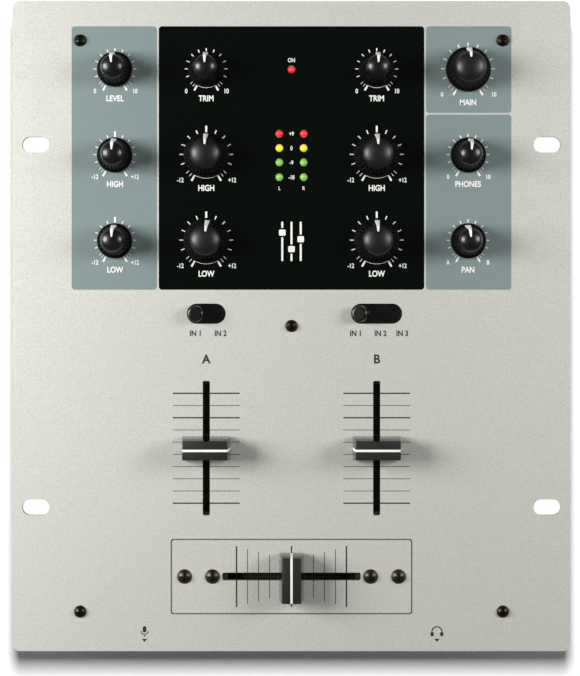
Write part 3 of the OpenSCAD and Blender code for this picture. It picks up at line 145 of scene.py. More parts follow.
class MixerPrint(bpy.types.PropertyGroup):
    """Sizes of what is printed on the faceplate."""

    layer: length("Layer", "Thickness of one printed layer", 0.04)
    panel_radius: length("Panel radius", "Corner radius of the printed panels", 1.5)
    tick_width: length("Tick width", "Width of a plain dial tick", 0.5)
    scale_line: length("Scale line", "Width of a thick line beside the faders", 0.6)
    thin_line: length("Thin line", "Width of a thin line beside the faders", 0.28)
    knob_label: length("Knob label", "Letter height under the knobs", 2.7)
    small_label: length("Small label", "Letter height at the ends of the dials", 2.1)
    channel_label: length("Channel label", "Letter height over the channel faders", 4.1)


class MixerStage(bpy.types.PropertyGroup):
    """Camera and lamps."""

    camera_height: length("Camera height", "Height of the camera above the faceplate", 800)
    camera_rear: length("Camera offset", "How far the camera stands behind the middle", 14.1)
    focal_length: bpy.props.FloatProperty(
        name="Focal length", description="Focal length of the camera, in millimetres", default=93.6, min=10)
    floor_radius: length("Floor radius", "Radius of the round floor", 360)
    side_glow: share("Side glow", "Radiance of the lamps at the two sides", 18.4, 40)
    floor_glow: share("Floor glow", "Radiance of the overhead lamp that lights the floor", 280, 1000)
    room_glow: share("Room glow", "Light from the rest of the room", 0.12)


# ---- node trees ----

def arithmetic(operation, swapped=False):
    """A method that adds a Math node for its operator, for one of two sides."""
    def apply(self, other):
        return self.maths(operation, *((other, self) if swapped else (self, other)))
    return apply


class Wire:
    """An output socket of a node. Arithmetic on it adds Math nodes."""

    def __init__(self, net, socket):
        self.net = net
        self.socket = socket

    def maths(self, operation, *values):
        return self.net.node("ShaderNodeMath", dict(enumerate(values)), operation=operation)

    __add__ = __radd__ = arithmetic("ADD")
    __mul__ = __rmul__ = arithmetic("MULTIPLY")
    __sub__ = arithmetic("SUBTRACT")
    __rsub__ = arithmetic("SUBTRACT", swapped=True)
    __truediv__ = arithmetic("DIVIDE")
    __rtruediv__ = arithmetic("DIVIDE", swapped=True)
    __pow__ = arithmetic("POWER")
    above = arithmetic("GREATER_THAN")


class Net:
    """A node tree that is being built."""

    def __init__(self, tree):
        self.tree = tree

    def node(self, kind, sockets=None, output=None, **settings):
        """Adds a node, then its settings, then what its sockets hold, named or numbered."""
        made = self.tree.nodes.new(kind)
        for name, value in settings.items():
            setattr(made, name, value)
        for key, value in (sockets or {}).items():
            if isinstance(key, int):
                socket = made.inputs[key]
            else:
                socket = next(s for s in made.inputs if s.name == key and s.enabled)
            if isinstance(value, Wire):
                self.tree.links.new(value.socket, socket)
            else:
                socket.default_value = value
        return Wire(self, next(s for s in made.outputs if s.enabled and output in (None, s.name)))

    def feed(self, wire, node, socket):
        """Links a wire to a socket of a node that is there already."""
        self.tree.links.new(wire.socket, self.tree.nodes[node].inputs[socket])

    def vector(self, x, y, z):
        return self.node("ShaderNodeCombineXYZ", {0: x, 1: y, 2: z})

    def parts(self, vector):
        """X, Y and Z of a vector."""
        return [self.node("ShaderNodeSeparateXYZ", {0: vector}, axis) for axis in "XYZ"]

    def blend(self, factor, first, second):
        """Colour between two colours."""
        def full(value):
            return value if isinstance(value, Wire) else (*value[:3], 1)
        sockets = {"Factor": factor, "A": full(first), "B": full(second)}
        return self.node("ShaderNodeMix", sockets, data_type="RGBA")


class Finish(Net):
    """A material with one Principled shader, whose patterns lie in the object's own space."""

    def __init__(self, name, **constants):
        self.material = bpy.data.materials.new(name)
        self.material.use_nodes = True
        super().__init__(self.material.node_tree)
        for name, value in constants.items():
            socket = name.replace("_", " ").title().replace("Ior", "IOR")
            self.tree.nodes["Principled BSDF"].inputs[socket].default_value = value
        self.place = self.node("ShaderNodeTexCoord", {}, "Object")

    def set(self, **wires):
        """Feeds sockets of the shader, and gives the material back, as texture and bump do."""
        for name, wire in wires.items():
            self.feed(wire, "Principled BSDF", name.replace("_", " ").title())
        return self.material

    def noise(self, per_metre, detail=2.0, stretch=None):
        """Noise from 0 to 1 with that many features in a metre."""
        place = self.place
        if stretch:
            place = self.node("ShaderNodeVectorMath", {0: place, 1: stretch}, operation="MULTIPLY")
        return self.node("ShaderNodeTexNoise", {"Vector": place, "Scale": per_metre, "Detail": detail})

    def spread(self, value, low, high, to_low=0.0, to_high=1.0):
        """Value stretched from low..high to the new range and held there."""
        return self.node("ShaderNodeMapRange", {
            "Value": value, "From Min": low, "From Max": high, "To Min": to_low, "To Max": to_high})

    def shades(self, mask, value, first, second, low=0.3, high=0.7):
        """Two shades of a colour, parted by a mask that is stretched from low..high."""
        return self.blend(self.spread(mask, low, high), shade(value, first), shade(value, second))

    def texture(self, mask, smooth, rough, depth=0, low=0.3, high=0.7):
        """Roughness that follows a mask stretched from low..high, and a bump where it has a depth."""
        self.set(roughness=self.spread(mask, low, high, smooth, rough))
        return self.bump(mask, depth) if depth else self.material

    def bump(self, height, depth):
        """Normal bent by a height from 0 to 1 that stands for that depth."""
        return self.set(normal=self.node("ShaderNodeBump", {"Height": height, "Distance": depth}))


def shade(value, factor):
    """A colour made lighter or darker."""
    return tuple(min(1.0, part*factor) for part in value[:3])


# ---- finishes ----

def silver_paint(value):
    """Fine metallic paint of the faceplate."""
    finish = Finish("silver_paint", metallic=0.5)
    grain = finish.noise(1700, 1.0)
    base = finish.shades(grain, value, 0.84, 1.14)
    finish.set(base_color=finish.blend(finish.noise(14)*0.25, base, shade(value, 0.9)))
    return finish.texture(grain, 0.62, 0.5, 0.012*MM)


def panel_print(name, value, roughness):
    """Satin ink laid over a whole panel."""
    finish = Finish(name, specular_ior_level=0.25)
    grain = finish.noise(1300)
    base = finish.shades(finish.noise(20), value, 0.97, 1.03)
    finish.set(base_color=finish.blend(grain*0.2, base, shade(value, 0.85)))
    return finish.texture(grain, roughness - 0.04, roughness + 0.04, 0.004*MM)


def ink(name, value):
    """Screen printed ink of ticks and lettering."""
    finish = Finish(name)
    grain = finish.noise(2500)
    finish.set(base_color=finish.blend(grain*0.3, value, shade(value, 0.88)))
    return finish.texture(grain, 0.45, 0.6)


def moulded_plastic(name, value, roughness, texture=0.002*MM):
    """Moulded plastic with a fine texture of that depth."""
    finish = Finish(name)
    wave = finish.noise(160)
    grain = finish.noise(3800)
    finish.set(base_color=finish.shades(wave, value, 1, 1.2, 0.35, 0.65))
    finish.set(roughness=roughness + (wave + grain - 1)*0.08)
    return finish.bump(grain, texture)


def knob_plastic(name, value, crown, polish):
    """Black plastic of the knobs: dull flutes, and a polished crown above that height."""
    finish = Finish(name, specular_ior_level=0.08, coat_roughness=polish)
    grain = finish.noise(3800)
    height = finish.parts(finish.place)[2]
    finish.set(base_color=finish.shades(finish.noise(160), value, 0.5, 0.75, 0.35, 0.65))
    finish.set(coat_weight=finish.spread(height, crown - 0.6*MM, crown + 0.6*MM))
    return finish.texture(grain, 0.4, 0.5, 0.002*MM)


def cap_plastic(name, value):
    """Black plastic of the fader caps: glossy sides and a finely textured top, whose colour is painted
    lighter where it faces up as a painted sheen.
    """
    finish = Finish(name)
    upwards = finish.parts(finish.node("ShaderNodeTexCoord", {}, "Normal"))[2]
    top = finish.spread(upwards, 0.6, 0.95)
    # Faces that look up get a colour 2.6 times lighter: painted sheen on the top, beside its real texture in
    # roughness and bump.
    finish.set(base_color=finish.blend(top, value, shade(value, 2.6)))
    finish.set(roughness=0.1 + top*0.42 + (finish.noise(160) - 0.5)*0.06)
    return finish.bump(finish.noise(3000)*top, 0.01*MM)


def metal(name, value, roughness, streak=None):
    """Plated or plain metal with fine tool marks, long along the small part of streak."""
    finish = Finish(name, metallic=1.0)
    mark = finish.noise(1200, 3.0, streak)
    finish.set(base_color=finish.shades(finish.noise(60), value, 1, 0.86))
    return finish.texture(mark, roughness - 0.06, roughness + 0.1, 0.004*MM, 0.25, 0.75)


def powder_coat(value):
    """Powder coat of the chassis, with its fine orange peel."""
    finish = Finish("powder_coat")
    peel = finish.noise(900, 3.0)
    finish.set(base_color=finish.shades(finish.noise(12), value, 1, 1.25))
    return finish.texture(peel, 0.42, 0.58, 0.03*MM)


def rubber(value):
    """Dull rubber of the feet."""
    finish = Finish("foot_rubber")
    dust = finish.noise(300, 4.0)
    finish.set(base_color=finish.shades(dust, value, 1, 2.2, 0.5, 0.8))
    return finish.texture(dust, 0.7, 0.85, 0.02*MM)


def lit_lens(name, value):
    """Coloured lens with a light behind it, brightest straight above its chip."""
    finish = Finish(name, roughness=0.28, emission_strength=0.42)
    upwards = finish.parts(finish.node("ShaderNodeTexCoord", {}, "Normal"))[2]
    centre = finish.spread(upwards, 0.55, 1.0)**2.0
    pale = tuple(part*0.7 + 0.3 for part in value)
    finish.set(base_color=finish.blend(finish.noise(900)*0.3, value, shade(value, 0.7)))
    return finish.set(emission_color=finish.blend(centre*0.55, value, pale))


def circuit_board():
    """Green board with paler copper tracks under its varnish."""
    finish = Finish("circuit_board", roughness=0.35)
    sockets = {"Vector": finish.place, "Scale": 110.0, "Mortar Size": 0.03, "Bias": 0.0}
    tracks = finish.node("ShaderNodeTexBrick", sockets, "Fac", offset=0.37, squash=0.6)
    board = finish.blend(finish.noise(500)*0.4, srgb(24, 84, 50), srgb(14, 60, 36))
    finish.set(base_color=finish.blend(tracks*0.6, board, srgb(70, 140, 86)))
    return finish.bump(tracks, 0.03*MM)


def resistive_card():
    """Brown card with the dark resistive strips of a fader."""
    finish = Finish("resistive_card", roughness=0.5)
    grain = finish.noise(700, 3.0, (1.0, 0.2, 1.0))
    return finish.set(base_color=finish.blend(grain, srgb(66, 58, 40), srgb(48, 42, 29)))


def phono_insert(split):
    """Plastic inside the phono sleeves: red below that height and white above it."""
    finish = Finish("phono_insert")
    upper = finish.parts(finish.place)[2].above(split)
    grain = finish.noise(600)
    base = finish.blend(upper, srgb(176, 24, 30), srgb(226, 224, 214))
    finish.set(base_color=finish.blend(grain*0.15, base, srgb(90, 60, 56)))
    return finish.texture(grain, 0.3, 0.42)


def coat(material, *nodes):
    """Gives frame nodes that material."""
    for node in nodes:
        slots = frame["nodes"][node].material_slots
        if not slots:
            raise RuntimeError(f"{node} has no material slot")
        for slot in slots:
            slot.link = "OBJECT"
            slot.material = material


# ---- meshes ----

def piece(name, mesh, material, body="housing", smooth=None, replaces=()):
    """An object for a finished mesh, riding on its body."""
    mesh.materials.clear()
    mesh.materials.append(material)
    if smooth is not None:
        mesh.shade_smooth()
        mesh.set_sharp_from_angle(angle=math.radians(smooth))
    made = in_scene(name, mesh)
    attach(made, body)
    if replaces:
        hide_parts(*replaces)


def mesh_from(name, vertices, faces):
    """A mesh whose doubles are merged and whose faces point outwards."""
    mesh = bpy.data.meshes.new(name)
    mesh.from_pydata(vertices, [], faces)
    return cleaned(mesh)


def cleaned(mesh, near=1e-6):
    """Merges doubles and turns the faces outwards."""
    form = bmesh.new()
    form.from_mesh(mesh)
    bmesh.ops.remove_doubles(form, verts=form.verts, dist=near)
    bmesh.ops.dissolve_degenerate(form, edges=form.edges, dist=near)
    bmesh.ops.recalc_face_normals(form, faces=form.faces)
    form.to_mesh(mesh)
    form.free()
    return mesh


def joined(name, meshes):
    """One mesh that holds all of these, which are then removed."""
    form = bmesh.new()
    for mesh in meshes:
        form.from_mesh(mesh)
        bpy.data.meshes.remove(mesh)
    whole = bpy.data.meshes.new(name)
    form.to_mesh(whole)
    form.free()
    return whole


def evaluated_mesh(name, source):
    """The finished mesh of an object with its modifiers, after which the object is removed."""
    graph = bpy.context.evaluated_depsgraph_get()
    mesh = bpy.data.meshes.new_from_object(source.evaluated_get(graph), depsgraph=graph)
    mesh.name = name
    bpy.data.batch_remove([source, source.data])
    return mesh


def in_scene(name, data):
    """An object for this data, in the scene."""
    made = bpy.data.objects.new(name, data)
    bpy.context.scene.collection.objects.link(made)
    return made


def with_modifier(mesh, kind, **settings):
    """The mesh after a modifier of that type."""
    source = in_scene(kind, mesh)
    modifier = source.modifiers.new(kind, kind)
    for key, value in settings.items():
        setattr(modifier, key, value)
    return evaluated_mesh(kind, source)


def loft(name, rings, capped=False):
    """Rings of equally many points, each joined to the next, and closed at both ends where capped."""
    count = len(rings[0])
    vertices = [point for ring in rings for point in ring]
    last = len(vertices) - count
    faces = [tuple(range(count)), tuple(range(last, last + count))] if capped else []
    for low in range(0, last, count):
        for step in range(count):
            beside = (step + 1) % count
            faces.append((low + step, low + beside, low + count + beside, low + count + step))
    return mesh_from(name, vertices, faces)


def lathe(name, outline, steps):
    """Outline of (radius, height) points turned about the Z axis. Its two ends lie on the axis."""
    angles = [2*math.pi*step/steps for step in range(steps)]
    return loft(name, [
        [(radius*math.cos(angle), radius*math.sin(angle), height) for angle in angles]
        for radius, height in outline
    ])


def block(base, top, low, high):
    """Block with a rectangle of half sizes base at low and one of half sizes top at high."""
    corners = ((-1, -1), (1, -1), (1, 1), (-1, 1))
    return loft("block", [
        [(x*half[0], y*half[1], height) for x, y in corners]
        for half, height in ((base, low), (top, high))
    ], capped=True)


def evenly(steps):
    """Numbers from 0 to 1 in even steps."""
    return [step/steps for step in range(steps + 1)]


def arc(centre, radius, first, last, steps):
    """Points of an arc, whose angles are in degrees from +X."""
    for along in evenly(steps):
        angle = math.radians(first + (last - first)*along)
        yield centre[0] + radius*math.cos(angle), centre[1] + radius*math.sin(angle)


def circle(x, y, radius, steps=48):
    return list(arc((x, y), radius, 0, 360 - 360/steps, steps - 1))


def rounded_box(left, bottom, right, top, radius, steps=8):
    """Outline of a rectangle with round corners."""
    corners = (
        (right - radius, top - radius, 0), (left + radius, top - radius, 90),
        (left + radius, bottom + radius, 180), (right - radius, bottom + radius, 270),
    )
    return [point for x, y, start in corners for point in arc((x, y), radius, start, start + 90, steps)]


def band(x, y, radius, width, first, last, steps=40):
    """Outline of a curved band."""
    outer = list(arc((x, y), radius + width/2, first, last, steps))
    inner = list(arc((x, y), radius - width/2, last, first, steps))
    return outer + inner


def sheet_mesh(name, outlines, low, thickness):
    """Flat solid with those outlines, holes included, from low upwards. Sizes are in metres."""
    curve = bpy.data.curves.new(name, "CURVE")
    curve.dimensions = "2D"
    curve.fill_mode = "BOTH"
    curve.extrude = thickness/2
    for outline in outlines:
        spline = curve.splines.new("POLY")
        spline.points.add(len(outline) - 1)
        for point, (x, y) in zip(spline.points, outline):
            point.co = (x, y, 0, 1)
        spline.use_cyclic_u = True
    mesh = evaluated_mesh(name, in_scene(name, curve))
    mesh.transform(Matrix.Translation((0, 0, low + thickness/2)))
    return cleaned(mesh)


# ---- Geometry Nodes ----

class Growth(Net):
    """A Geometry Nodes tree that ends in Realize Instances and Set Material.

    Its named inputs are a count, some sizes or angles, and the material.
    """

    def __init__(self, name, count, *sizes):
        super().__init__(bpy.data.node_groups.new(name, "GeometryNodeTree"))
        self.keys = {}
        face = self.tree.interface
        face.new_socket("Geometry", in_out="INPUT", socket_type="NodeSocketGeometry")
        face.new_socket("Geometry", in_out="OUTPUT", socket_type="NodeSocketGeometry")
        for label, kind in {count: "Int", **dict.fromkeys(sizes, "Float"), "Material": "Material"}.items():
            made = face.new_socket(label, in_out="INPUT", socket_type="NodeSocket" + kind)
            self.keys[label] = made.identifier
        self.entry = self.tree.nodes.new("NodeGroupInput")

    def __getitem__(self, label):
        """The input with that name."""
        return Wire(self, self.entry.outputs[label])

    def finish(self, geometry):
        solid = self.node("GeometryNodeRealizeInstances", {0: geometry})
        coated = self.node("GeometryNodeSetMaterial", {"Geometry": solid, "Material": self["Material"]})
        self.feed(coated, self.tree.nodes.new("NodeGroupOutput").name, 0)
        return self

    def grow(self, name, mesh, **values):
        """The mesh that the tree makes of this one with those inputs."""
        source = in_scene(name, mesh)
        modifier = source.modifiers.new("Growth", "NODES")
        modifier.node_group = self.tree
        for label, value in values.items():
            modifier[self.keys[label]] = value
        return evaluated_mesh(name, source)

    def bar(self, start):
        """A bar along +Y that begins at start and stands on z = 0, sized by the tree's inputs."""
        width, reach, depth = self["Width"], self["Reach"], self["Depth"]
        bar = self.node("GeometryNodeMeshCube", {"Size": self.vector(width, reach, depth)}, "Mesh")
        shift = self.vector(0.0, start + reach*0.5, depth*0.5)
        return self.node("GeometryNodeTransform", {"Geometry": bar, "Translation": shift})

    def line(self, offset):
        """Points in a row, as many as the tree's Count."""
        return self.node("GeometryNodeMeshLine", {
            "Count": self["Count"], "Start Location": (0, 0, 0), "Offset": offset})

    def copies(self, points, instance, **sockets):
        """The instance on each point."""
        return self.node("GeometryNodeInstanceOnPoints", {"Points": points, "Instance": instance, **sockets})


def dial_tree():
    """A fan of ticks round every point. Angles run clockwise from +Y."""
    net = Growth("Dial ticks", "Count", "First", "Step", "Inner", "Reach", "Width", "Depth")
    number = net.node("GeometryNodeInputIndex")
    turn = net.vector(0.0, 0.0, (net["First"] + net["Step"]*number)*-1.0)
    fan = net.copies(net.line((0, 0, 0)), net.bar(net["Inner"]), Rotation=turn)
    return net.finish(net.copies(net["Geometry"], fan))


def scale_tree():
    """A row of lines on both sides of a slot, at every point, each shorter than the one before."""
    net = Growth("Fader scale", "Count", "Pitch", "Gap", "Reach", "Shrink", "Width", "Depth", "Turn")
    row = net.line(net.vector(net["Pitch"], 0.0, 0.0))
    bar = net.bar(0.0)
    number = net.node("GeometryNodeInputIndex")
    size = net.vector(1.0, (net["Reach"] - net["Shrink"]*number)/net["Reach"], 1.0)
    both = net.tree.nodes.new("GeometryNodeJoinGeometry")
    for side, turned in ((1.0, 0.0), (-1.0, math.pi)):
        shift = net.vector(0.0, net["Gap"]*side, 0.0)
        moved = net.node("GeometryNodeSetPosition", {"Geometry": row, "Offset": shift})
        net.feed(net.copies(moved, bar, Rotation=(0, 0, turned), Scale=size), both.name, 0)
    turn = net.vector(0.0, 0.0, net["Turn"])
    return net.finish(net.copies(net["Geometry"], Wire(net, both.outputs[0]), Rotation=turn))


def flute_tree():
    """Presses flutes into the skirt of a turned knob, whose radius goes from Base to Neck."""
    net = Growth("Knob flutes", "Flutes", "Depth", "Bottom", "Top", "Base", "Neck")
    x, y, z = net.parts(net.node("GeometryNodeInputPosition"))
    radius = (x*x + y*y)**0.5
    climb = (z - net["Bottom"])/(net["Top"] - net["Bottom"])
    skirt = net["Base"] + (net["Neck"] - net["Base"])*climb
    on_skirt = radius.above(skirt - 0.1*MM)*climb.above(-0.01)*(1.01 - climb).above(0.0)
    angle = x.maths("ARCTAN2", y, x)*net["Flutes"]
    wave = (0.5 - 0.5*angle.maths("COSINE", angle))**1.5
    inwards = 1.0 - on_skirt*wave*net["Depth"]/radius
    moved = net.vector(x*inwards, y*inwards, z)
    return net.finish(net.node("GeometryNodeSetPosition", {"Geometry": net["Geometry"], "Position": moved}))


# ---- operators ----

class MixerOperator:
    """What every step has in common."""

    bl_options = {"REGISTER", "UNDO"}

    @property
    def colours(self):
        return bpy.context.scene.mixer_colours

    @property
    def prints(self):
        return bpy.context.scene.mixer_print

    def lay(self, name, outlines, low, material):
        """Prints flat outlines as one piece, one layer thick."""
        piece(name, sheet_mesh(name, outlines, low, self.prints.layer), material)

    def gather(self, name, meshes, material):
        """Makes one piece of meshes that stand at their height already."""
        piece(name, cleaned(joined(name, meshes)), material)


class MIXER_OT_stage(MixerOperator, bpy.types.Operator):
    """Make the floor, the lamps and the camera"""

    bl_idname = "mixer.stage"
    bl_label = "Stage"

    def execute(self, context):
        scene = context.scene
        sizes = scene.mixer_stage
        eye = Vector((0, sizes.camera_rear, FACE_TOP + sizes.camera_height))
        self.camera(scene, eye, sizes.focal_length)
        floor = self.floor(sizes.floor_radius)
        self.lamp("left_softbox", LEFT_LAMP, sizes.side_glow, floor, "EXCLUDE")
        self.lamp("right_softbox", RIGHT_LAMP, sizes.side_glow*RIGHT_SHARE, floor, "EXCLUDE")
        self.lamp("overhead_lamp", OVERHEAD_LAMP, sizes.floor_glow, floor, "INCLUDE")
        self.painted_light_cards(eye, sizes.camera_height)
        self.room(scene, sizes.room_glow)
        scene.view_settings.view_transform = "Standard"
        return {"FINISHED"}

    def camera(self, scene, eye, focal_length):
        lens = bpy.data.cameras.new("camera")
        lens.lens = focal_length
        lens.sensor_width = 36
        lens.shift_x = -0.0022
        lens.shift_y = -0.0636
        scene.camera = in_scene("camera", lens)
        scene.camera.location = eye

    def floor(self, radius):
        """Pale floor, which the camera sees as white."""
        def pale(net, seen):
            colours = {"Factor": seen, "A": (0.8, 0.8, 0.79, 1), "B": (1.2, 1.2, 1.2, 1)}
            colour = net.node("ShaderNodeMix", colours, data_type="RGBA")
            return net.node("ShaderNodeBsdfDiffuse", {"Color": colour})
        return self.flat("floor", [circle(0, 0.113, radius, 128)], 0, "pale_floor", pale)

    def painted_light_cards(self, eye, height):
        """Glowing white cards on the floor, which the camera alone sees through the rack slots: painted
        light laid in the plate's shadow there.
        """
        def white(net, seen):
            return net.node("ShaderNodeEmission", {"Color": (1, 1, 1, 1), "Strength": seen})
        # Each card glows white where the camera looks, which paints light onto the floor's shadow under a
        # slot.
        half_width, half_depth = 7.6*MM, 4.8*MM
        outlines = []
        for x, y in RACK_SLOTS:
            spot = eye + (Vector((x, y, FACE_TOP)) - eye)*(eye.z/height)
            outlines.append(rounded_box(
                spot.x - half_width, spot.y - half_depth, spot.x + half_width, spot.y + half_depth,
                half_depth))
        self.flat("slot_painted_light", outlines, 0.1*MM, "painted_light_card", white)

    def flat(self, name, outlines, height, finish, surface):
        """Flat sheets of the stage, whose surface depends on whether the camera sees it."""
        material = bpy.data.materials.new(finish)
        material.use_nodes = True
        net = Net(material.node_tree)
        net.tree.nodes.remove(net.tree.nodes["Principled BSDF"])
        seen = net.node("ShaderNodeLightPath", {}, "Is Camera Ray")
        net.feed(surface(net, seen), "Material Output", "Surface")
        mesh = joined(name, [
            mesh_from(name, [(x, y, height) for x, y in outline], [range(len(outline))])
            for outline in outlines
        ])
        mesh.materials.append(material)
        made = in_scene(name, mesh)
        return made

    def lamp(self, name, stand, glow, floor, state):
        """An area lamp of that radiance, whose light misses the floor or reaches it alone."""
        place, size = stand
        light = bpy.data.lights.new(name, "AREA")
        light.shape = "RECTANGLE"
        light.size, light.size_y = size
        light.energy = glow*math.pi*size[0]*size[1]
        made = in_scene(name, light)
        made.location = place
        towards = Vector((0, 0, FACE_TOP)) - made.location
        made.rotation_euler = towards.to_track_quat("-Z", "Y").to_euler()
        shared = bpy.data.collections.new(name + "_shares")
        shared.objects.link(floor)
        made.light_linking.receiver_collection = shared
        shared.collection_objects[0].light_linking.link_state = state

    def room(self, scene, glow):
        """White behind the object, and a dim room for its light and its reflections."""
        scene.world = bpy.data.worlds.new("room")
        scene.world.use_nodes = True
        net = Net(scene.world.node_tree)
        seen = net.node("ShaderNodeLightPath", {}, "Is Camera Ray")
        net.feed(net.blend(seen, (glow, glow, glow), (1, 1, 1)), "Background", "Color")


class MIXER_OT_faceplate(MixerOperator, bpy.types.Operator):
    """Paint the faceplate and the inset crossfader plate, and lay a band of painted shadow along the seam
    between them
    """

    bl_idname = "mixer.faceplate"
    bl_label = "Faceplate"

    def execute(self, context):
        coat(silver_paint(self.colours.silver), "faceplate", "crossfader_plate")
        # A dark band over the edges round the inset stands in for the shadow in its gap: painted shadow.
        low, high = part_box("crossfader_plate")
        edges = [
            rounded_box(low.x - out, low.y - out, high.x + out, high.y + out, 1.2*MM + out)
            for out in (0.3*MM, -0.08*MM)
        ]
        seam_shadow_band = sheet_mesh("seam_shadow_band", edges, FACE_TOP, 0.02*MM)
        piece("inset_seam_painted_shadow", seam_shadow_band, ink("seam_shade", srgb(86, 85, 78)))
        return {"FINISHED"}


class MIXER_OT_panels(MixerOperator, bpy.types.Operator):
    """Print the grey and black panels under the knobs"""

    bl_idname = "mixer.panels"
    bl_label = "Panels"

    def execute(self, context):
        outer, inner, split = 100.05*MM, 61.25*MM, 60.4*MM
        rear, front = 136.4*MM, 16.5*MM
        grey = panel_print("grey_print", self.colours.grey_panel, 0.4)
        black = panel_print("black_print", self.colours.black_panel, 0.16)
        self.panel("left_panel", (-outer, front, -inner, rear), grey)
        self.panel("master_panel", (inner, 97.0*MM, outer, rear), grey)
        self.panel("cue_panel", (inner, front, outer, 96.2*MM), grey)
        self.panel("channel_panel", (-split, front, split, rear), black)
        return {"FINISHED"}

    def panel(self, name, edges, material):
        """One panel, open over the knob bushes, the lights and the screws."""
        left, bottom, right, top = edges
        bush, light, screw = 5.0*MM, 1.75*MM, 2.9*MM
        holes = [(x, y, bush) for x, y in DIALS.values()]
        holes += [(x, y, light) for x, y in light_places()]
        holes += [(side*96.2*MM, 130*MM, screw) for side in (-1, 1)]
        outlines = [rounded_box(*edges, self.prints.panel_radius)]
        outlines += [circle(x, y, r) for x, y, r in holes if left < x < right and bottom < y < top]
        self.lay(name, outlines, FACE_TOP, material)


def light_places():
    """Place of the power light, then those of the meter lights in pairs from the rear."""
    rim = 1.9*MM
    low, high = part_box("yellow_lights")
    half = (high.x - low.x)/2 - rim
    last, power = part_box("red_lights")[0].y + rim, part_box("red_lights")[1].y - rim
    bottom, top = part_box("green_lights")[0].y + rim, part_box("green_lights")[1].y - rim
    rows = (last, middle("yellow_lights").y, top, bottom)
    return [(0.0, power)] + [(side*half, y) for y in rows for side in (-1, 1)]


class MIXER_OT_dials(MixerOperator, bpy.types.Operator):
    """Print the ticks and arcs round the knobs"""

    bl_idname = "mixer.dials"
    bl_label = "Dials"

    def execute(self, context):
        tree = dial_tree()
        white = ink("white_ink", self.colours.white_ink)
        low = FACE_TOP + self.prints.layer
        self.ticks(tree, white, low, "small", SMALL_KNOBS, 8.35*MM, 1.4*MM, 2.6*MM)
        self.ticks(tree, white, low, "large", LARGE_KNOBS, 10.5*MM, 1.75*MM, 2.9*MM)
        self.arcs(white, low)
        return {"FINISHED"}

    def ticks(self, tree, white, low, size, knobs, inner, plain, end):
        """All ticks round the knobs of one size, each reaching out by plain or by end."""
        width = self.prints.tick_width
        wide, thin = width*1.7, width*0.6
        every = [(*DIALS[knob], low) for knob in knobs]
        tone = [(*DIALS[knob], low) for knob in knobs if knob in TONE_KNOBS]
        marks = (
            (every, -110, 22, 11, plain, width), (every, -141, 9, 2, plain, thin),
            (every, 132, 9, 2, plain, thin), (every, -150, 300, 2, end, wide),
            (tone, 0, 0, 1, end, wide),
        )
        grown = [
            tree.grow(
                "ticks", mesh_from("points", places, []), Count=count, First=math.radians(first),
                Step=math.radians(step), Inner=inner, Reach=reach, Width=width,
                Depth=self.prints.layer*(1.25 if width == wide else 1), Material=white)
            for places, first, step, count, reach, width in marks
        ]
        self.gather(size + "_dial_ticks", grown, white)

    def arcs(self, white, low):
        """Fine arc between the end ticks, on the black panel only."""
        bands = [
            band(*place, (10.45 if knob in LARGE_KNOBS else 8.25)*MM, 0.19*MM, 242, 298)
            for knob, place in DIALS.items() if knob.startswith("ch")
        ]
        self.lay("dial_arcs", bands, low, white)


class MIXER_OT_scales(MixerOperator, bpy.types.Operator):
    """Print the lines beside the faders"""

    bl_idname = "mixer.scales"
    bl_label = "Fader scales"

    def execute(self, context):
        tree = scale_tree()
        dark = ink("dark_ink", self.colours.dark_ink)
        wide, thin = self.prints.scale_line, self.prints.thin_line

        def row(x, y, turn, gap, reach, width, count=1, pitch=0, shrink=0):
            return tree.grow(
                "row", mesh_from("point", [(x, y, FACE_TOP)], []), Count=count, Pitch=pitch, Gap=gap,
                Reach=reach, Shrink=shrink, Width=width, Depth=self.prints.layer,
                Turn=math.radians(turn), Material=dark)

        pitch, gap, reach = 5.556*MM, 1.45*MM, 13.75*MM
        grown = []
        for cap in CHANNEL_CAPS:
            x, y, _ = middle(cap)
            for number in range(10):
                width = wide if number in (0, 2, 9) else thin
                grown.append(row(x, y + (4.5 - number)*pitch, 90, gap, reach, width))
        self.gather("channel_scales", grown, dark)
        x, y, _ = middle("crossfader_cap")
        pitch, gap, shrink = 5*MM, 1.5*MM, 1.3*MM
        reach = 13.85*MM - gap
        grown = [row(x + side*5*pitch, y, 0, gap, reach, wide) for side in (-1, 0, 1)]
        for side, turn in ((-1, 0), (1, 180)):
            grown.append(row(x + side*4*pitch, y, turn, gap, reach - shrink, thin, 4, pitch, shrink))
        self.gather("crossfader_scale", grown, dark)
        return {"FINISHED"}


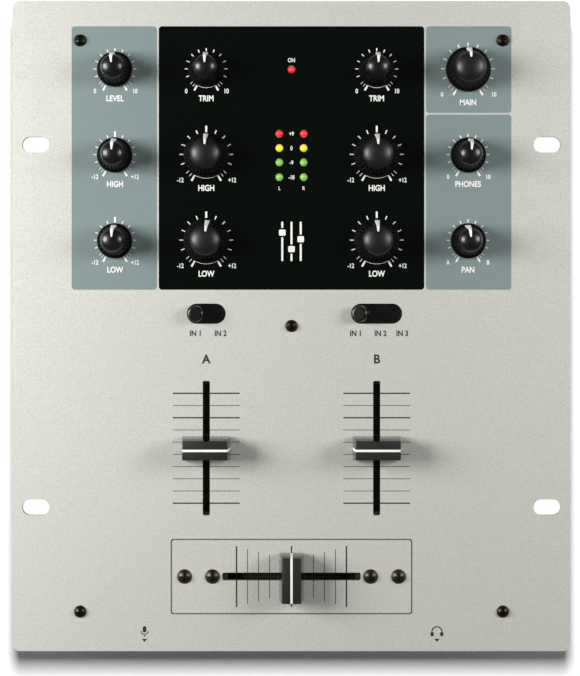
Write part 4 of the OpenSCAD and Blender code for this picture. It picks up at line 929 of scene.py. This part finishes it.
class MIXER_OT_lettering(MixerOperator, bpy.types.Operator):
    """Print the plain words, numbers and signs"""

    bl_idname = "mixer.lettering"
    bl_label = "Lettering"

    def execute(self, context):
        white = ink("white_letters", self.colours.white_ink)
        dark = ink("dark_letters", self.colours.dark_ink)
        panel_top = FACE_TOP + self.prints.layer
        self.words("panel_lettering", self.dial_words() + self.light_words(), panel_top, white)
        self.words("faceplate_lettering", self.silver_words(), FACE_TOP, dark)
        self.lay("slider_sign", self.sliders(), panel_top, white)
        self.lay("front_signs", self.front_signs(), FACE_TOP, dark)
        return {"FINISHED"}

    def words(self, name, words, low, material):
        """Makes one piece of words that stand on low."""
        mesh = joined(name, words)
        mesh.transform(Matrix.Translation((0, 0, low)))
        piece(name, mesh, material)

    def word(self, text, x, y, height, weight, narrow=0.8):
        """Mesh of one word about its middle, in capitals of that height."""
        curve = bpy.data.curves.new("word", "FONT")
        curve.body = text
        curve.align_x = "CENTER"
        curve.size = height/0.729
        curve.offset = weight*height
        curve.extrude = self.prints.layer/2
        mesh = evaluated_mesh("word", in_scene("word", curve))
        place = Matrix.Translation((x, y - height/2, self.prints.layer/2))
        mesh.transform(place @ Matrix.Diagonal((narrow, 1, 1, 1)))
        return cleaned(mesh)

    def dial_words(self):
        """Name under each knob, and what stands at the two ends of its dial."""
        names = {
            "mic_gain": "LEVEL", "mic_treble": "HIGH", "mic_bass": "LOW",
            "ch1_gain": "TRIM", "ch1_treble": "HIGH", "ch1_bass": "LOW",
            "ch2_gain": "TRIM", "ch2_treble": "HIGH", "ch2_bass": "LOW",
            "master": "MAIN", "cue_gain": "PHONES", "cue_mix": "PAN",
        }
        ends = {**dict.fromkeys(TONE_KNOBS, ("-12", "+12")), "cue_mix": ("A", "B")}
        words = []
        for knob, text in names.items():
            x, y = DIALS[knob]
            drop, apart, down = (14.8, 11.8, 11.2) if knob in LARGE_KNOBS else (13.0, 9.1, 9.7)
            words.append(self.word(text, x, y - drop*MM, self.prints.knob_label, 0.035, 0.84))
            for side, end in zip((-1, 1), ends.get(knob, ("0", "10"))):
                place = x + side*apart*MM, y - down*MM
                words.append(self.word(end, *place, self.prints.small_label, 0.032))
        return words

    def light_words(self):
        """Words and numbers at the power light and between the meter lights."""
        power, *lights = light_places()
        bottom = lights[-1][1] - 5.0*MM
        labels = [("ON", 0, power[1] + 4.3*MM, 1.9), ("L", -5.5, bottom, 1.7), ("R", 5.5, bottom, 1.7)]
        labels += [(text, 0, y, 1.9) for (_, y), text in zip(lights[::2], ("+9", "0", "-9", "-18"))]
        return [self.word(text, x*MM, y, height*MM, 0.03) for text, x, y, height in labels]

    def silver_words(self):
        """Names of the sources, and of the channels over their faders."""
        sources = ((-43.6, "IN 1"), (-32.3, "IN 2"), (29.3, "IN 1"), (40.5, "IN 2"), (50.4, "IN 3"))
        words = [self.word(text, x*MM, -3.25*MM, 2.6*MM, 0.035, 0.86) for x, text in sources]
        size = self.prints.channel_label
        for cap, text in zip(CHANNEL_CAPS, "AB"):
            words.append(self.word(text, middle(cap).x, -14.9*MM, size, 0.035, 0.95))
        return words

    def sliders(self):
        """Sign of three sliders in their slots."""
        outlines = []
        for x, y in ((-4.2, 42.5), (0, 35.0), (4.2, 39.5)):
            outlines.append(rounded_box(x - 0.45, 29.5, x + 0.45, y - 2.1, 0.4))
            outlines.append(rounded_box(x - 0.45, y + 2.1, x + 0.45, 47.5, 0.4))
            outlines.append(rounded_box(x - 1.5, y - 1.4, x + 1.5, y + 1.4, 0.6))
        return self.scaled(outlines)

    def front_signs(self):
        """Microphone and headphones, each over an arrow that points at its socket."""
        left, right, y = -66.9, 66.2, -139.2

        def arrow(x):
            return [(x - 1.2, y - 3.2), (x, y - 4.6), (x + 1.2, y - 3.2)]

        return self.scaled([
            rounded_box(left - 0.8, y - 0.3, left + 0.8, y + 2.6, 0.78),
            band(left, y + 0.4, 1.6, 0.4, 180, 360, 20),
            rounded_box(left - 0.2, y - 2.2, left + 0.2, y - 1.5, 0.05),
            arrow(left),
            band(right, y, 2.3, 0.5, 0, 180, 24),
            rounded_box(right - 2.9, y - 2.0, right - 1.5, y - 0.1, 0.5),
            rounded_box(right + 1.5, y - 2.0, right + 2.9, y - 0.1, 0.5),
            arrow(right),
        ])

    def scaled(self, outlines):
        """Outlines in metres of those in millimetres."""
        return [[(x*MM, y*MM) for x, y in outline] for outline in outlines]


class MIXER_OT_knobs(MixerOperator, bpy.types.Operator):
    """Turn the fluted knobs and their white pointers"""

    bl_idname = "mixer.knobs"
    bl_label = "Knobs"

    # Degrees clockwise from the middle mark
    turns = {"mic_gain": -6, "ch1_gain": -1, "ch1_bass": 5, "ch2_gain": 3, "cue_gain": 6, "cue_mix": -5}
    skirt_low, skirt_top = 1.5*MM, 9.2*MM
    # How much wider the skirt's top is than the foot of the dome
    shoulder = 0.1*MM

    def execute(self, context):
        tree = flute_tree()
        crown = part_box("ch1_gain_knob")[0].z + 11.6*MM
        black = self.colours.gloss_black
        white = moulded_plastic("pointer_white", self.colours.pointer_white, 0.4)
        small = knob_plastic("small_knob", black, crown, 0.29)
        large = knob_plastic("large_knob", shade(black, 1.6), crown, 0.42)
        for knob in KNOBS:
            if knob in LARGE_KNOBS:
                self.knob(tree, knob, large, white, 30, 6.9*MM, 3.5*MM)
            else:
                self.knob(tree, knob, small, white, 24, 5.4*MM, 1.3*MM)
        return {"FINISHED"}

    def knob(self, tree, knob, black, white, flutes, dome, tip):
        """One knob with a dome of that radius and a pointer that ends that far from the axis."""
        low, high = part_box(knob + "_knob")
        flange = (high.x - low.x)/2
        skirt = flange - 0.8*MM
        turn = Matrix.Rotation(math.radians(-self.turns.get(knob, 0)), 4, "Z")
        place = Matrix.Translation((*DIALS[knob], low.z)) @ turn
        outside = self.outside(flange, skirt, dome, high.z - low.z - 0.3*MM)
        turned = lathe("knob", self.inside(flange) + outside, flutes*8)
        fluted = tree.grow(
            knob + "_cap", turned, Flutes=flutes, Depth=0.38*MM, Bottom=self.skirt_low,
            Top=self.skirt_top, Base=skirt, Neck=dome + self.shoulder, Material=black)
        fluted.transform(place)
        piece(knob + "_fluted_knob", fluted, black, knob + "_control", 32, [knob + "_knob"])
        line = self.pointer(outside, flange - 1.0*MM, tip)
        line.transform(place)
        piece(knob + "_pointer", line, white, knob + "_control", 40)

    def inside(self, flange):
        """Outline of the hollow underside, from the top of the shaft bore outwards."""
        bore, hub = 3.05*MM, 4.15*MM
        bore_top, hub_foot, roof = 10.25*MM, 0.7*MM, 6*MM
        hollow = flange - 2.2*MM
        return [
            (0, bore_top), (bore, bore_top), (bore, hub_foot), (hub, hub_foot), (hub, roof),
            (hollow - 1.1*MM, roof), (hollow, 0), (flange - 0.25*MM, 0),
        ]

    def outside(self, flange, skirt, dome, top):
        """Outline of the outside, from the rim of the flange up to the axis."""
        edge, rim, crown = 0.3*MM, 1.4*MM, 3.6*MM
        neck = dome + self.shoulder
        points = [(flange, edge), (flange, rim - edge)]
        points += list(arc((flange - edge, rim - edge), edge, 15, 90, 5))
        points.append((skirt + 0.02*MM, rim))
        rise = self.skirt_top - self.skirt_low
        points += [(skirt + (neck - skirt)*up, self.skirt_low + rise*up) for up in evenly(14)]
        angles = [math.pi/2*along for along in evenly(24)]
        return points + [(dome*math.cos(a), top - crown + crown*math.sin(a)) for a in angles]

    def pointer(self, outside, rim, tip):
        """White fin that stands out from the skirt and runs over the crown towards its middle."""
        rim_width, tip_width = 2.05*MM, 0.65*MM
        proud, sunk, root = 0.28*MM, 1.2*MM, 1.3*MM
        first, *crown = [point for point in outside if point[1] > 10.4*MM and point[0] > tip]
        spine = [
            (rim, 6.6*MM, root), (rim - 0.4*MM, 8.0*MM, root),
            (first[0] + 0.25*MM, first[1], 7*MM),
        ]
        spine += [(radius, height + proud, height - sunk) for radius, height in crown]
        rings = []
        for radius, high, low in spine:
            half = (tip_width + (rim_width - tip_width)*(radius - tip)/(rim - tip))/2
            soft = min(0.18*MM, half*0.4)
            rings.append([(x, radius, z) for x, z in (
                (-half, low), (-half, high - soft), (-half + soft, high),
                (half - soft, high), (half, high - soft), (half, low),
            )])
        return loft("pointer", rings, capped=True)


class MIXER_OT_fader_caps(MixerOperator, bpy.types.Operator):
    """Mould the fader caps with their white lines"""

    bl_idname = "mixer.fader_caps"
    bl_label = "Fader caps"

    def execute(self, context):
        black = cap_plastic("cap_black", self.colours.gloss_black)
        white = moulded_plastic("cap_line_white", self.colours.pointer_white, 0.4)
        for node in (*CHANNEL_CAPS, "crossfader_cap"):
            low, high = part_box(node)
            body = node.removesuffix("_cap")
            turn = Matrix.Rotation(math.radians(-90 if body == "crossfader" else 0), 4, "Z")
            cap, line = self.cap(high.z - low.z)
            for mesh in (cap, line):
                mesh.transform(Matrix.Translation((*middle(node).xy, low.z)) @ turn)
            piece(node + "_shell", cap, black, body, 30, [node])
            piece(node + "_line", line, white, body, 30)
        return {"FINISHED"}

    def body(self, grow, top, bottom):
        """Leaning block, all its sides moved out by grow."""
        return block((11.0*MM + grow, 5.55*MM + grow), (10.15*MM + grow, 4.25*MM + grow), bottom, top)

    def bar(self, width, depth, low, high):
        half = width/2, depth/2
        return block(half, half, low, high)

    def softened(self, mesh):
        return with_modifier(mesh, "BEVEL", width=0.35*MM, segments=3, limit_method="ANGLE")

    def cut(self, mesh, other, operation="DIFFERENCE"):
        """Boolean of two meshes, both of which are used up."""
        helper = in_scene("cutter", other)
        made = with_modifier(mesh, "BOOLEAN", operation=operation, object=helper, solver="EXACT")
        bpy.data.batch_remove([helper, other])
        return made

    def cap(self, height):
        """Cap with round edges, a hollow underside with a grip for the lever, and its line."""
        groove, depth, wall = 1.1*MM, 0.2*MM, 1.2*MM
        core = self.softened(self.body(-depth, height - depth, -wall))
        slit = self.cut(self.bar(30*MM, groove, -wall, 2*height), core.copy())
        grip = self.bar(3.6*MM, 10.4*MM, wall, height)
        body = self.cut(self.softened(self.body(0, height, 0)), slit)
        body = self.cut(body, self.cut(self.body(-wall, height - wall, -0.1*MM), grip))
        body = self.cut(body, self.bar(1.3*MM, 8.1*MM, -wall, 9.55*MM))
        skin = self.softened(self.body(-0.05*MM, height - 0.05*MM, 0))
        line = self.cut(skin, self.bar(30*MM, groove - 0.04*MM, -wall, 2*height), "INTERSECT")
        return cleaned(body), cleaned(self.cut(line, core))


class MIXER_OT_switches(MixerOperator, bpy.types.Operator):
    """Finish the source switches, the power switch and its frame"""

    bl_idname = "mixer.switches"
    bl_label = "Switches"

    def execute(self, context):
        black = self.colours.gloss_black
        coat(
            moulded_plastic("switch_gloss", black, 0.22),
            "ch1_source_switch", "ch2_source_switch", "power_rocker")
        coat(moulded_plastic("switch_satin", black, 0.4, 0.01*MM), "power_switch_frame")
        return {"FINISHED"}


class MIXER_OT_lights(MixerOperator, bpy.types.Operator):
    """Light the power light and the meter"""

    bl_idname = "mixer.lights"
    bl_label = "Lights"

    def execute(self, context):
        for name in ("red", "yellow", "green"):
            coat(lit_lens(name + "_lens", getattr(self.colours, name)), name + "_lights")
        return {"FINISHED"}


class MIXER_OT_screws(MixerOperator, bpy.types.Operator):
    """Finish the screws"""

    bl_idname = "mixer.screws"
    bl_label = "Screws"

    def execute(self, context):
        coat(metal("black_screws", srgb(56, 52, 44), 0.36), "machine_screws")
        coat(metal("bronze_screws", srgb(74, 70, 60), 0.4), "crossfader_screws")
        return {"FINISHED"}


class MIXER_OT_chassis(MixerOperator, bpy.types.Operator):
    """Coat the chassis and its feet"""

    bl_idname = "mixer.chassis"
    bl_label = "Chassis"

    def execute(self, context):
        coat(powder_coat(self.colours.powder_black), "chassis")
        coat(rubber(srgb(26, 26, 26)), "feet")
        return {"FINISHED"}


class MIXER_OT_sockets(MixerOperator, bpy.types.Operator):
    """Finish the sockets at the front and the rear"""

    bl_idname = "mixer.sockets"
    bl_label = "Sockets"

    def execute(self, context):
        coat(moulded_plastic("jack_black", srgb(24, 24, 25), 0.36, 0.01*MM), "jack_sockets", "jack_nuts")
        coat(moulded_plastic("socket_black", srgb(22, 22, 23), 0.38, 0.01*MM), "rca_blocks", "dc_inlet")
        nickel = metal("nickel", srgb(208, 206, 200), 0.22, (1.0, 0.2, 1.0))
        coat(nickel, "rca_sleeves", "usb_socket", "ground_screw", "ground_washer")
        coat(phono_insert(middle("rca_inserts").z), "rca_inserts")
        return {"FINISHED"}


class MIXER_OT_inside(MixerOperator, bpy.types.Operator):
    """Finish what lies inside the chassis"""

    bl_idname = "mixer.inside"
    bl_label = "Inside"

    def execute(self, context):
        shafts = [knob + "_shaft" for knob in DIALS]
        coat(metal("zinc_plate", srgb(150, 152, 154), 0.38), "pot_bodies", "source_switch_frames", *shafts)
        coat(
            moulded_plastic("carriage_black", srgb(26, 26, 27), 0.5, 0.01*MM),
            "ch1_fader_carriage", "ch2_fader_carriage", "crossfader_carriage")
        coat(metal("dark_plate", srgb(84, 80, 70), 0.5), "fader_frames")
        coat(metal("polished_rod", srgb(190, 190, 188), 0.16, (1.0, 0.1, 1.0)), "fader_rails")
        coat(metal("brass", srgb(196, 160, 92), 0.3), "board_standoffs")
        coat(resistive_card(), "fader_cards")
        coat(circuit_board(), "main_board", "io_board")
        return {"FINISHED"}


OPERATORS = (
    MIXER_OT_stage, MIXER_OT_faceplate, MIXER_OT_panels, MIXER_OT_dials, MIXER_OT_scales,
    MIXER_OT_lettering, MIXER_OT_knobs, MIXER_OT_fader_caps, MIXER_OT_switches, MIXER_OT_lights,
    MIXER_OT_screws, MIXER_OT_chassis, MIXER_OT_sockets, MIXER_OT_inside,
)


class MIXER_PT_steps(bpy.types.Panel):
    """Lists the steps in their order"""

    bl_label = "Mixer"
    bl_idname = "MIXER_PT_steps"
    bl_space_type = "VIEW_3D"
    bl_region_type = "UI"
    bl_category = "Mixer"

    def draw(self, context):
        for step in OPERATORS:
            self.layout.operator(step.bl_idname, text=step.bl_label)


GROUPS = {"mixer_colours": MixerColours, "mixer_print": MixerPrint, "mixer_stage": MixerStage}
CLASSES = (*GROUPS.values(), *OPERATORS, MIXER_PT_steps)


def register():
    for cls in CLASSES:
        bpy.utils.register_class(cls)
    for name, group in GROUPS.items():
        setattr(bpy.types.Scene, name, bpy.props.PointerProperty(type=group))


def unregister():
    for name in GROUPS:
        delattr(bpy.types.Scene, name)
    for cls in reversed(CLASSES):
        bpy.utils.unregister_class(cls)


def main():
    register()
    for step in OPERATORS:
        family, name = step.bl_idname.split(".")
        getattr(getattr(bpy.ops, family), name)()


if __name__ == "__main__":
    main()
